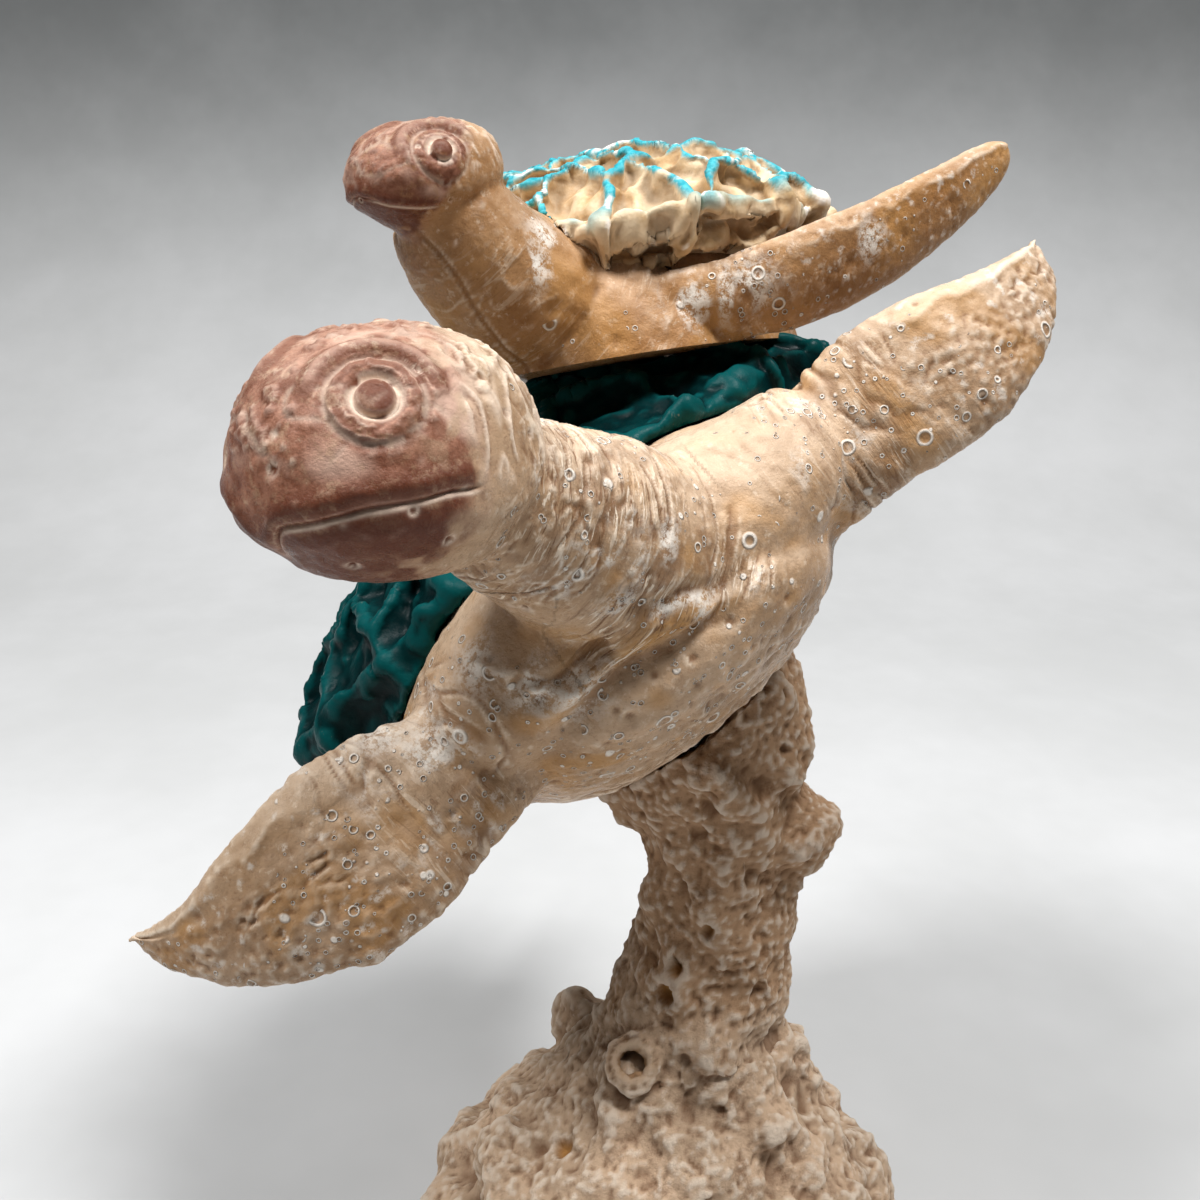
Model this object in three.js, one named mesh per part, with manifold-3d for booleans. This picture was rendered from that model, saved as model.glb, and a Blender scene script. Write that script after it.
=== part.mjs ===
// A cast resin ornament: a large sea turtle swims over a coral stand with a small turtle on its back.
// Millimetres, +Z up. The origin is the middle of the felt pad's underside, and the front faces -Y.
// Every casting is its own closed solid. A glue line parts it from its neighbours, and cast pegs,
// a steel rod and two steel pins locate the joints.
import * as THREE from "three";
import { mergeVertices } from "three/addons/utils/BufferGeometryUtils.js";
import Module from "manifold-3d";

const wasm = await Module();
wasm.setup();
const v = (x, y, z) => new THREE.Vector3(x, y, z);

// Joints
const GLUE = 0.3; // glue line between two castings, and clearance round a peg, rod or pin
const ROD_RADIUS = 2.5;
const ROD_BOTTOM = 9;
const ROD_TOP = 126;
const PIN_RADIUS = 1.5;
const PIN_IN_SHELL = 6; // depth of a seat pin below the small turtle's flat underside
const PIN_IN_BODY = 7; // height of a seat pin above it

// Coral stand
const FELT = 1.5;
const FELT_INSET = 4;
const FOOT_HALF_X = 46;
const FOOT_HALF_Y = 41;
const FOOT_CHAMFER = 3; // the foot's lower edge is drawn in and up by this much
const FOOT_EDGE = 13; // height at which the mound is widest
// How the foot's outline departs from an oval
const FOOT_WAVES = [
  { share: 0.05, lobes: 3, phase: 1 },
  { share: 0.03, lobes: 5, phase: 2 },
];
const MOUND_HOLLOW = 1.25; // 1 makes the mound's slope straight, and more hollows it
const MOUND_LEDGE = 1; // the mound's top stands out past the pillar's foot by this much
const MOUND_TOP = 45;
const PILLAR_FOOT = v(7, 10, MOUND_TOP);
const PILLAR_WAIST = v(11.5, 12, 78);
const PILLAR_HEAD = v(7.5, 15, 113);
const PILLAR_DOME = 16; // rise of the rounded top above the head, most of it cut away by the belly
const PILLAR_FOOT_RADIUS = 17;
const PILLAR_WAIST_RADIUS = 14.5;
const PILLAR_HEAD_RADIUS = 19;
const TENON_RADIUS = 9;
const TENON_DEPTH = 14;
const DOME_LEVELS = [0.35, 0.65, 0.88]; // rings of the rounded top, as shares of its rise
const LUMP_HEIGHT = 2.2; // how far the coral's lumps stand out
const LUMP_PITCH = 4.4;
const FINE_LUMPS = { share: 0.6, faster: 1.7 }; // a second, lower and closer set of lumps
const SPONGE_FROM_FOOT = v(-11.2, -6.5, -6.5); // the tube sponge's root, from the pillar's foot
const SPONGE_AT = PILLAR_FOOT.clone().add(SPONGE_FROM_FOOT);
const SPONGE_AIM = v(-2, -14, 13).normalize(); // the way its mouth looks
const SPONGE_RADIUS = 5.6;
const SPONGE_BORE = 3.1;
const SPONGE_LENGTH = 13.5;
const SPONGE_BORE_DEPTH = 7;
const KNOBS_ON_MOUND = [
  { at: v(-15, 33, 24), radius: 8 },
  { at: v(24, 8, 34), radius: 9 },
  { at: v(-28, -6, 20), radius: 10 },
  { at: v(30, -14, 16), radius: 10 },
];
const KNOBS_ON_PILLAR = [
  { at: v(23, 11, 88), radius: 10 },
  { at: v(0, 16, 96), radius: 12 },
  { at: v(16, 24, 64), radius: 9 },
];

// The large turtle. Its frame has +X forward, +Y to its left and +Z out of its back.
const LARGE = {
  name: "large",
  at: v(-5.8, 8, 126.5),
  heading: -90,
  climb: 30, // nose up
  bank: 39, // left side up
  headApart: true, // head and neck are a casting of their own
  body: { front: 57, back: 54, half: 44, top: 20, bottom: 16, rings: 18, sides: 30, nose: 3.3, tail: 2.2 },
  plastron: {
    at: v(0, 0, -9),
    front: 56,
    back: 48,
    half: 31,
    top: 6,
    bottom: 12,
    rings: 14,
    sides: 24,
    nose: 3,
    tail: 2.2,
  },
  tail: { at: v(-50, 0, -3), front: 8, back: 15, half: 6, top: 4.5, bottom: 4, rings: 8, sides: 12 },
  flatAt: -Infinity,
  neck: [v(34, 0, 2), v(50, 0, 4.5), v(62, -6, 12), v(70, -11, 17.5)],
  neckRadius: { root: 17.5, head: 10 },
  head: { at: v(79.7, -17.6, 23.2), turn: -36, lift: -2, roll: -46 },
  skull: { front: 19, back: 18, half: 15.2, top: 15.8, bottom: 10, rings: 14, sides: 24, power: 2.3 },
  jaw: { at: v(-2, 0, -6), front: 17, back: 15, half: 12.5, top: 2, bottom: 6, rings: 12, sides: 20 },
  eye: { at: v(9.7, 5, 5.8), radius: 6.2 },
  headPeg: { radius: 6, depth: 12 },
  shell: {
    front: 46,
    back: 62,
    half: 58,
    rim: 16, // height of the rim's upper edge
    rise: 24,
    edge: 7, // height of the rim's band
    undercut: 0.97, // the rim's lower edge, as a share of its upper one
    cell: 12.5, // width of a cell in the net of ropes that covers the shell
    rope: 0.5, // height of the ropes over the dome
    sink: 2.4, // depth of the cells below it
    scoop: 1.2, // depth of the hollows in the rim's band, between the ends of the ropes
  },
  flipperPeg: { radius: 3.5, depth: 8 },
  fore: {
    left: { root: v(28, 13, -2), knee: v(58, 56, -3), tip: v(38, 80.7, 6), chord: 24, bow: 0.7 },
    right: { root: v(28, -13, -2), knee: v(60, -54, -6), tip: v(38, -83.5, 12.5), chord: 36, bow: 1.5 },
    rootChord: 17,
    thickness: 15,
    tipThickness: 4,
    tilt: 80, // blade turned from flat, leading edge up
    point: 0.85, // 0.5 rounds the tip, and more sharpens it
    hook: 1.1, // how far the leading edge hollows and the trailing edge fills, so the tip sweeps forward
  },
  hind: {
    left: { root: v(-34, 20, -3), knee: v(-54, 30, -4), tip: v(-72, 44, -2), chord: 21, bow: 1 },
    right: { root: v(-34, -20, -3), knee: v(-54, -30, -4), tip: v(-72, -44, -2), chord: 21, bow: 1 },
    rootChord: 15,
    thickness: 9,
    tipThickness: 3,
    tilt: 15,
    point: 0.55,
    hook: 0,
  },
};

// The small turtle, cast with its head and neck in one, and sawn flat below.
const SMALL = {
  name: "small",
  at: v(-6, 21.5, 171),
  heading: -120,
  climb: 6,
  bank: 14,
  headApart: false,
  body: { front: 33, back: 36, half: 27, top: 24, bottom: 14, rings: 16, sides: 28, nose: 2.4 },
  plastron: { front: 32, back: 34, half: 24, top: 3, bottom: 14, rings: 12, sides: 20, nose: 2.4 },
  tail: { at: v(-34, 0, 4), front: 5, back: 9, half: 4, top: 3, bottom: 3, rings: 8, sides: 10 },
  flatAt: 0,
  neck: [v(18, 0, 9), v(31, -1, 12.5), v(38.5, -2.5, 18.5), v(43, -3, 24)],
  neckRadius: { root: 13, head: 8.8 },
  head: { at: v(45.6, -2.4, 28), turn: -17, lift: -12, roll: -14 },
  skull: { front: 12, back: 11, half: 9, top: 7.2, bottom: 5.5, rings: 14, sides: 22, power: 2.3 },
  jaw: { at: v(-1, 0, -3.5), front: 11, back: 9, half: 7.5, top: 1, bottom: 4.2, rings: 10, sides: 16 },
  eye: { at: v(2.6, 5.7, 2.1), radius: 3.6 },
  shell: {
    front: 32,
    back: 41,
    half: 35.5,
    rim: 19,
    rise: 15.5,
    edge: 5,
    undercut: 0.86,
    cell: 8.5,
    rope: 0.4,
    sink: 2.2,
    scoop: 1.6,
  },
  flipperPeg: { radius: 2.2, depth: 5 },
  fore: {
    left: { root: v(22, 10, 7), knee: v(14, 40, 5), tip: v(-18.5, 61, 23), chord: 16, bow: 2 },
    right: { root: v(22, -10, 7), knee: v(33, -30, -4), tip: v(33, -49, 11), chord: 17, bow: 1 },
    rootChord: 12,
    thickness: 8,
    tipThickness: 5,
    tilt: 65,
    point: 0.36,
    hook: 0.2,
  },
  hind: {
    left: { root: v(-24, 13, 7), knee: v(-42, 24, 8), tip: v(-60, 33, 15), chord: 13, bow: 0.5 },
    right: { root: v(-24, -13, 7), knee: v(-40, -21, 6), tip: v(-58, -28, 9), chord: 13, bow: 0.5 },
    rootChord: 9,
    thickness: 6.5,
    tipThickness: 2.5,
    tilt: 15,
    point: 0.5,
    hook: 0,
  },
};
const SEAT_PINS = { front: 10, rear: -8, side: 12 }; // places on the small turtle's flat underside
const BLADE_FLARE = { from: 0.15, to: 0.55 }; // shares of a flipper's length between which it widens
const BLADE_FULLNESS = 2.4; // higher keeps a flipper wide for longer
const BLADE_END = 0.995; // the last ring's share of the length, just short of the tip
const DOME_POWER = 0.7; // 0.5 makes a shell an even oval dome, and more slopes it towards the rim
const RIM_LEFT = 0.06; // nearer to the rim than this, the dome's slope no longer grows
const RIM_SIDES = 44; // straight sides that make up a shell's rim
const NET_SHAKE = 0.25; // how far a cell's centre is off its place in the spread, in cell widths
// A cell's walls run down from the ropes in steps: share of the cell's width, and share of its depth
const CELL_STEPS = [
  { share: 0.8, drop: 0.45 },
  { share: 0.55, drop: 1 },
];

// Finishes
const finish = (color, roughness, metalness = 0) =>
  new THREE.MeshStandardMaterial({ color, roughness, metalness });
const BONE_RESIN = finish(0xc9ab86, 0.55);
const FACE_RESIN = finish(0xa97c66, 0.55);
const TEAL_SHELL = finish(0x0f6a6c, 0.4);
const NET_SHELL = finish(0xcdb99a, 0.5);
const CORAL_RESIN = finish(0xb59c84, 0.85);
const STEEL = finish(0x9a9a9c, 0.35, 1);
const GREY_FELT = finish(0x3c3c3e, 0.95);

// Solids from geometry and back

function solidOf(geometry) {
  const bare = geometry.clone();
  bare.deleteAttribute("normal");
  bare.deleteAttribute("uv");
  const merged = mergeVertices(bare, 1e-4);
  return new wasm.Manifold(
    new wasm.Mesh({
      numProp: 3,
      vertProperties: new Float32Array(merged.attributes.position.array),
      triVerts: new Uint32Array(merged.index.array),
    }),
  );
}

function geometryOf(solid) {
  const mesh = solid.getMesh();
  const geometry = new THREE.BufferGeometry();
  geometry.setAttribute("position", new THREE.BufferAttribute(mesh.vertProperties, 3));
  geometry.setIndex(new THREE.BufferAttribute(mesh.triVerts, 1));
  geometry.computeVertexNormals();
  return geometry;
}

const join = (...solids) => solids.reduce((a, b) => a.add(b));
const cut = (solid, ...tools) => tools.reduce((a, b) => a.subtract(b), solid);

// Shapes

// Wraps a closed skin over a row of rings. A ring of one point closes an end.
function skin(rings) {
  const index = [];
  let first = 0;
  for (let r = 0; r + 1 < rings.length; r++) {
    const here = rings[r].length;
    const there = rings[r + 1].length;
    const next = first + here;
    const sides = Math.max(here, there);
    for (let i = 0; i < sides; i++) {
      const j = (i + 1) % sides;
      if (here > 1) index.push(first + i, next + (i % there), first + j);
      if (there > 1) index.push(first + (j % here), next + i, next + j);
    }
    first = next;
  }
  const geometry = new THREE.BufferGeometry().setFromPoints(rings.flat()).setIndex(index);
  return facesOut(geometry) ? geometry : geometry.setIndex(index.reverse());
}

function facesOut(geometry) {
  const { position } = geometry.attributes;
  const corner = [v(), v(), v()];
  let volume = 0;
  for (let i = 0; i < geometry.index.count; i += 3) {
    corner.forEach((c, k) => c.fromBufferAttribute(position, geometry.index.getX(i + k)));
    volume += corner[0].dot(corner[1].cross(corner[2]));
  }
  return volume > 0;
}

const swell = (c, power) => Math.sign(c) * Math.abs(c) ** (2 / power);

// One oval ring in the plane of side and rise. Its upper and lower halves have their own heights.
function oval(at, side, rise, { half, top, bottom, sides, power = 2 }) {
  return Array.from({ length: sides }, (_, i) => {
    const turn = (2 * Math.PI * i) / sides;
    const up = swell(Math.sin(turn), power);
    return at
      .clone()
      .addScaledVector(side, half * swell(Math.cos(turn), power))
      .addScaledVector(rise, up * (up > 0 ? top : bottom));
  });
}

// A pebble's share of its full girth, from -1 at its back to 1 at its front. A higher power is blunter.
function girthAt(along, { power = 2, nose = power, tail = power }) {
  const bluntness = along > 0 ? nose : tail;
  return Math.max(0, 1 - Math.abs(along) ** bluntness) ** (1 / bluntness);
}

// A pebble: an egg along X that reaches a different way to each side.
function pebble(size, grow = 0) {
  const { at = v(0, 0, 0), front, back, half, top, bottom, rings, sides, power = 2 } = size;
  const row = Array.from({ length: rings + 1 }, (_, r) => {
    const along = Math.cos((Math.PI * r) / rings);
    const reach = along > 0 ? front + grow : back + grow;
    const place = at.clone().add(v(reach * along, 0, 0));
    if (r === 0 || r === rings) return [place];
    const girth = girthAt(along, size);
    const [wide, high, deep] = [half, top, bottom].map((reach) => (reach + grow) * girth);
    return oval(place, v(0, 1, 0), v(0, 0, 1), { half: wide, top: high, bottom: deep, sides, power });
  });
  return skin(row);
}

// A round tube along a curve whose radius runs from one end's to the other's.
function limb(curve, startRadius, endRadius, { steps, sides, grow = 0 }) {
  const row = Array.from({ length: steps + 1 }, (_, i) => {
    const share = i / steps;
    const tangent = curve.getTangent(share);
    const side = v(0, 0, 1).cross(tangent).normalize();
    const rise = tangent.clone().cross(side);
    const radius = THREE.MathUtils.lerp(startRadius, endRadius, share) + grow;
    return oval(curve.getPoint(share), side, rise, { half: radius, top: radius, bottom: radius, sides });
  });
  return skin([[curve.getPoint(0)], ...row, [curve.getPoint(1)]]);
}

// A round bar from one point to another.
function bar(radius, start, end, sides = 16) {
  const run = end.clone().sub(start);
  const turn = new THREE.Quaternion().setFromUnitVectors(v(0, 1, 0), run.clone().normalize());
  const middle = start.clone().addScaledVector(run, 0.5);
  return new THREE.CylinderGeometry(radius, radius, run.length(), sides)
    .applyQuaternion(turn)
    .translate(middle.x, middle.y, middle.z);
}

// Turtle castings, in the turtle's own frame

const poseOf = ({ at, heading, climb, bank }) => {
  const angles = [bank, -climb, heading].map(THREE.MathUtils.degToRad);
  const turn = new THREE.Quaternion().setFromEuler(new THREE.Euler(...angles, "ZYX"));
  return new THREE.Matrix4().compose(at, turn, v(1, 1, 1));
};

const headPose = ({ head }) =>
  poseOf({ at: head.at, heading: head.turn, climb: head.lift, bank: head.roll });

// Everything below a level, for sawing an underside flat.
function below(level) {
  const deep = 200;
  return new THREE.BoxGeometry(deep, deep, deep).translate(0, 0, level - deep / 2);
}

function torso(turtle, grow = 0) {
  const parts = [turtle.body, turtle.plastron, turtle.tail].map((size) => solidOf(pebble(size, grow)));
  const whole = join(...parts);
  return turtle.flatAt > -Infinity ? cut(whole, solidOf(below(turtle.flatAt - grow))) : whole;
}

function headAndNeck(turtle, grow = 0) {
  const curve = new THREE.CatmullRomCurve3(turtle.neck);
  const neck = limb(curve, turtle.neckRadius.root, turtle.neckRadius.head, { steps: 8, sides: 20, grow });
  const pose = headPose(turtle);
  const skull = pebble(turtle.skull, grow).applyMatrix4(pose);
  const jaw = pebble(turtle.jaw, grow).applyMatrix4(pose);
  const eyes = [1, -1].map((side) => {
    const { at, radius } = turtle.eye;
    const ball = new THREE.IcosahedronGeometry(radius + grow, 2).translate(at.x, side * at.y, at.z);
    return ball.applyMatrix4(pose);
  });
  return join(...[neck, skull, jaw, ...eyes].map(solidOf));
}

// The peg on a neck or a flipper: from outside the torso, in towards the root of the limb.
function peg(curve, { radius, depth }, surfaceAt, clearance = 0) {
  const middle = curve.getPoint(surfaceAt);
  const inwards = curve.getTangent(surfaceAt).negate();
  const inner = middle.clone().addScaledVector(inwards, depth + clearance);
  const outer = middle.clone().addScaledVector(inwards, -depth);
  return solidOf(bar(radius + clearance, outer, inner));
}

// Where a limb's curve leaves the torso, as a share of its length.
function leaves(curve, size) {
  const { front, back, half, top, bottom } = size;
  const outside = (p) =>
    Math.hypot(p.y / half, p.z / (p.z > 0 ? top : bottom)) > girthAt(p.x / (p.x > 0 ? front : back), size);
  const share = Array.from({ length: 101 }, (_, i) => i / 100).find((s) => outside(curve.getPoint(s)));
  return share ?? 0.5;
}

// Cell centres of a shell's net, in plan: a sunflower's spread, shaken so that no rows show.
function netSeeds({ front, back, half, cell }) {
  const count = Math.round((Math.PI * half * (front + back)) / 2 / cell ** 2);
  const goldenAngle = Math.PI * (3 - Math.sqrt(5));
  return Array.from({ length: count }, (_, k) => {
    const radius = Math.sqrt((k + 0.5) / count);
    const [x, y] = [radius * Math.cos(k * goldenAngle), radius * Math.sin(k * goldenAngle)];
    const shake = new THREE.Vector2(Math.sin(k ** 2), Math.cos(3 * k ** 2)).multiplyScalar(NET_SHAKE * cell);
    return new THREE.Vector2(x * (x > 0 ? front : back), y * half).add(shake);
  });
}

// The corners of a plan outline that are left on the near side of a line. A corner's rim flag says whether
// the side that follows it lies on the shell's rim.
function clip(corners, across, limit) {
  return corners.flatMap((here, i) => {
    const next = corners[(i + 1) % corners.length];
    const [a, b] = [here, next].map((corner) => limit - across.dot(corner.at));
    const hit = () => here.at.clone().lerp(next.at, a / (a - b));
    if (a >= 0) return b >= 0 ? [here] : [here, { at: hit(), rim: false }];
    return b >= 0 ? [{ at: hit(), rim: here.rim }] : [];
  });
}

// The part of a plan outline that lies nearer to one seed than to any other.
function cellAround(seed, seeds, outline) {
  return seeds.reduce((corners, other) => {
    if (other === seed) return corners;
    const across = other.clone().sub(seed);
    return clip(corners, across, across.dot(seed.clone().add(other)) / 2);
  }, outline);
}

// A solid cap with a domed back under a net of ropes. The ropes end as ribs on the rim's band, with scoops
// between them. The torso hollows the cap out below.
function cap({ shell }, grow = 0) {
  const { front, back, half, rim, rise, edge, undercut, rope, sink, scoop } = shell;
  const reach = (x) => (x > 0 ? front : back) + grow;
  const onDome = (at, lift) => {
    const [x, y] = [at.x / reach(at.x), at.y / (half + grow)];
    const left = Math.max(0, 1 - x ** 2 - y ** 2);
    const steepness = 2 * DOME_POWER * rise * Math.max(left, RIM_LEFT) ** (DOME_POWER - 1);
    const out = v((steepness * x) / reach(at.x), (steepness * y) / (half + grow), 1).normalize();
    return v(at.x, at.y, rim + grow + rise * left ** DOME_POWER).addScaledVector(out, lift);
  };
  const onBand = (at, share, height, lift) => {
    const out = v(at.x / reach(at.x), at.y / (half + grow), 0).normalize();
    return v(at.x * share, at.y * share, height).addScaledVector(out, lift);
  };
  const outline = Array.from({ length: RIM_SIDES }, (_, i) => {
    const turn = (2 * Math.PI * i) / RIM_SIDES;
    const at = new THREE.Vector2(reach(Math.cos(turn)) * Math.cos(turn), (half + grow) * Math.sin(turn));
    return { at, rim: true };
  });
  const floor = rim - edge - grow;
  const middle = v(0, 0, floor);
  const points = [];
  const strip = (upper, lower, i, j) => {
    points.push(upper[i], lower[i], upper[j], upper[j], lower[i], lower[j]);
  };
  const seeds = netSeeds(shell);
  for (const seed of seeds) {
    const corners = cellAround(seed, seeds, outline);
    const centre = corners.reduce((sum, { at }) => sum.add(at), new THREE.Vector2());
    centre.divideScalar(corners.length);
    const scooped = corners.map(({ rim }, i) => rim && corners.at(i - 1).rim);
    const crest = corners.map(({ at }, i) => onDome(at, scooped[i] ? -scoop : rope));
    const walls = CELL_STEPS.map(({ share, drop }) =>
      corners.map(({ at }) => onDome(centre.clone().lerp(at, share), -sink * drop)),
    );
    const waist = corners.map(({ at }, i) =>
      onBand(at, (1 + undercut) / 2, rim - edge / 2, scooped[i] ? -scoop : rope),
    );
    const foot = corners.map(({ at }) => onBand(at, undercut, floor, 0));
    const bottom = onDome(centre, -sink);
    corners.forEach(({ rim }, i) => {
      const j = (i + 1) % corners.length;
      [crest, ...walls].slice(0, -1).forEach((ring, k) => strip(walls[k], ring, i, j));
      points.push(walls.at(-1)[i], walls.at(-1)[j], bottom);
      if (!rim) return;
      strip(crest, waist, i, j);
      strip(waist, foot, i, j);
      points.push(foot[i], middle, foot[j]);
    });
  }
  return solidOf(new THREE.BufferGeometry().setFromPoints(points));
}

// A flipper blade lofted along its spine: it widens past the root, then tapers to its tip. Its bow is
// how far its middle sags behind the spine.
function blade(flipper, side, grow = 0) {
  const { root, knee, tip, chord, bow } = flipper[side];
  const spine = new THREE.QuadraticBezierCurve3(root, knee, tip);
  const steps = 11;
  const sides = 14;
  const tilt = THREE.MathUtils.degToRad(flipper.tilt);
  const lead = v(Math.cos(tilt), 0, Math.sin(tilt)); // towards the leading edge
  const row = Array.from({ length: steps + 1 }, (_, i) => {
    const share = Math.sin((Math.PI / 2) * (i / steps)) * BLADE_END;
    const tangent = spine.getTangent(share);
    const chordway = lead.clone().addScaledVector(tangent, -lead.dot(tangent)).normalize();
    const face = tangent.clone().cross(chordway);
    const taper = 1 - share ** BLADE_FULLNESS;
    const flare = THREE.MathUtils.smoothstep(share, BLADE_FLARE.from, BLADE_FLARE.to);
    const wide = THREE.MathUtils.lerp(flipper.rootChord, chord, flare) / 2;
    const leading = wide * taper ** (flipper.point * (1 + flipper.hook));
    const trailing = wide * taper ** (flipper.point / (1 + flipper.hook));
    const full = THREE.MathUtils.lerp(flipper.thickness, flipper.tipThickness, share);
    const thick = full * taper ** (flipper.point / 2);
    const sag = bow * Math.sin(Math.PI * share);
    const centre = spine.getPoint(share).addScaledVector(chordway, (leading - trailing) / 2 - sag);
    const half = (leading + trailing) / 2 + grow;
    return oval(centre, chordway, face, { half, top: thick / 2 + grow, bottom: thick / 2 + grow, sides });
  });
  return { spine, solid: solidOf(skin([[spine.getPoint(0)], ...row, [spine.getPoint(1)]])) };
}

// All the castings of one turtle, each cut clear of those that were set before it.
function castTurtle(turtle) {
  const castings = {};
  const neckCurve = new THREE.CatmullRomCurve3(turtle.neck);
  const neckLeaves = leaves(neckCurve, turtle.body);
  const bodyClear = torso(turtle, GLUE);
  const headClear = headAndNeck(turtle, GLUE);
  const shell = cut(cap(turtle), bodyClear, headClear);
  const shellClear = cap(turtle, GLUE);
  let body = torso(turtle);
  if (turtle.headApart) {
    castings.head = join(cut(headAndNeck(turtle), bodyClear), peg(neckCurve, turtle.headPeg, neckLeaves));
    body = cut(body, peg(neckCurve, turtle.headPeg, neckLeaves, GLUE));
  } else {
    body = join(body, headAndNeck(turtle));
  }
  for (const pair of ["fore", "hind"]) {
    for (const side of ["left", "right"]) {
      const { spine, solid } = blade(turtle[pair], side);
      const rootLeaves = leaves(spine, turtle.body);
      const clear = cut(solid, bodyClear, headClear, shellClear);
      castings[`${pair}_flipper_${side}`] = join(clear, peg(spine, turtle.flipperPeg, rootLeaves));
      body = cut(body, peg(spine, turtle.flipperPeg, rootLeaves, GLUE));
    }
  }
  return { body, carapace: shell, ...castings };
}

// Coral

// Slow lumps, the same wherever two coral castings meet.
function lumpAt(p) {
  const wave = (x, y, z) => Math.sin(x / LUMP_PITCH) * Math.sin(y / LUMP_PITCH) * Math.sin(z / LUMP_PITCH);
  const { share, faster } = FINE_LUMPS;
  return LUMP_HEIGHT * (wave(p.x, p.y, p.z) + share * wave(faster * p.y, faster * p.z, faster * p.x));
}

function lumpyRing(centre, radiusX, radiusY, sides) {
  return Array.from({ length: sides }, (_, i) => {
    const turn = (2 * Math.PI * i) / sides;
    const out = v(Math.cos(turn), Math.sin(turn), 0);
    const p = centre.clone().add(v(radiusX * out.x, radiusY * out.y, 0));
    return p.addScaledVector(out, lumpAt(p));
  });
}

function knob({ at, radius }, grow = 0) {
  const ball = new THREE.IcosahedronGeometry(radius + grow, 2).translate(at.x, at.y, at.z);
  const { position } = ball.attributes;
  for (let i = 0; i < position.count; i++) {
    const p = v().fromBufferAttribute(position, i);
    const out = p.clone().sub(at).normalize();
    p.addScaledVector(out, lumpAt(p) / 2);
    position.setXYZ(i, p.x, p.y, p.z);
  }
  return solidOf(ball);
}

// The foot's outline: an uneven oval.
function footRing(inset, height, sides) {
  return Array.from({ length: sides }, (_, i) => {
    const turn = (2 * Math.PI * i) / sides;
    const uneven = FOOT_WAVES.reduce((sum, w) => sum + w.share * Math.sin(w.lobes * turn + w.phase), 1);
    const x = (FOOT_HALF_X - inset) * uneven * Math.cos(turn);
    const y = (FOOT_HALF_Y - inset) * uneven * Math.sin(turn);
    return v(x, y, height);
  });
}

function coralMound() {
  const sides = 40;
  const floor = FELT + GLUE;
  const foot = [footRing(FOOT_CHAMFER, floor, sides), footRing(0, floor + FOOT_CHAMFER, sides)];
  const levels = 8;
  const slope = Array.from({ length: levels }, (_, i) => {
    const share = i / (levels - 1);
    const centre = v(0, 0, FOOT_EDGE).lerp(PILLAR_FOOT, share);
    const narrowing = (1 - share) ** MOUND_HOLLOW;
    const radiusX = THREE.MathUtils.lerp(PILLAR_FOOT_RADIUS + MOUND_LEDGE, FOOT_HALF_X, narrowing);
    const radiusY = THREE.MathUtils.lerp(PILLAR_FOOT_RADIUS + MOUND_LEDGE, FOOT_HALF_Y, narrowing);
    return lumpyRing(centre, radiusX, radiusY, sides);
  });
  const top = slope.at(-1).map((p) => p.setZ(MOUND_TOP));
  const mound = solidOf(skin([[v(0, 0, floor)], ...foot, ...slope.slice(0, -1), top, [PILLAR_FOOT]]));
  const mouth = SPONGE_AT.clone().addScaledVector(SPONGE_AIM, SPONGE_LENGTH);
  const boreEnd = mouth.clone().addScaledVector(SPONGE_AIM, -SPONGE_BORE_DEPTH);
  const bore = solidOf(bar(SPONGE_BORE, boreEnd, mouth.clone().add(SPONGE_AIM)));
  const knobs = KNOBS_ON_MOUND.map((k) => knob(k));
  return cut(join(mound, sponge(), ...knobs), bore, tenon(GLUE), rod(GLUE));
}

function sponge(grow = 0) {
  const mouth = SPONGE_AT.clone().addScaledVector(SPONGE_AIM, SPONGE_LENGTH + grow);
  return solidOf(bar(SPONGE_RADIUS + grow, SPONGE_AT, mouth, 20));
}

function tenon(clearance = 0) {
  const bottom = PILLAR_FOOT.clone().setZ(MOUND_TOP - TENON_DEPTH - clearance);
  const top = PILLAR_FOOT.clone().setZ(MOUND_TOP + TENON_DEPTH);
  return solidOf(bar(TENON_RADIUS + clearance, bottom, top, 20));
}

function rod(clearance = 0) {
  const centre = PILLAR_FOOT.clone().lerp(PILLAR_HEAD, 0.5);
  const bottom = centre.clone().setZ(ROD_BOTTOM - clearance);
  const top = centre.clone().setZ(ROD_TOP + clearance);
  return solidOf(bar(ROD_RADIUS + clearance, bottom, top));
}

function coralPillar(bellyClear, moundClear) {
  const sides = 28;
  const levels = 12;
  const line = new THREE.CatmullRomCurve3([PILLAR_FOOT, PILLAR_WAIST, PILLAR_HEAD]);
  const { lerp, smoothstep } = THREE.MathUtils;
  const radius = (share) =>
    share < 0.5
      ? lerp(PILLAR_FOOT_RADIUS, PILLAR_WAIST_RADIUS, smoothstep(share, 0, 0.5))
      : lerp(PILLAR_WAIST_RADIUS, PILLAR_HEAD_RADIUS, smoothstep(share, 0.5, 1));
  const rings = Array.from({ length: levels + 1 }, (_, i) => {
    const share = i / levels;
    return lumpyRing(line.getPoint(share), radius(share), radius(share), sides);
  });
  const seat = rings[0].map((p) => p.setZ(MOUND_TOP + GLUE));
  const crown = PILLAR_HEAD.clone().add(v(0, 0, PILLAR_DOME));
  const dome = DOME_LEVELS.map((rise) => {
    const girth = PILLAR_HEAD_RADIUS * Math.sqrt(1 - rise ** 2);
    return lumpyRing(PILLAR_HEAD.clone().lerp(crown, rise), girth, girth, sides);
  });
  const column = solidOf(
    skin([[PILLAR_FOOT.clone().setZ(MOUND_TOP + GLUE)], seat, ...rings.slice(1), ...dome, [crown]]),
  );
  const knobs = KNOBS_ON_PILLAR.map((k) => knob(k));
  const shaft = cut(join(column, ...knobs), moundClear, sponge(GLUE));
  return cut(join(shaft, tenon()), bellyClear, rod(GLUE));
}

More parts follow.
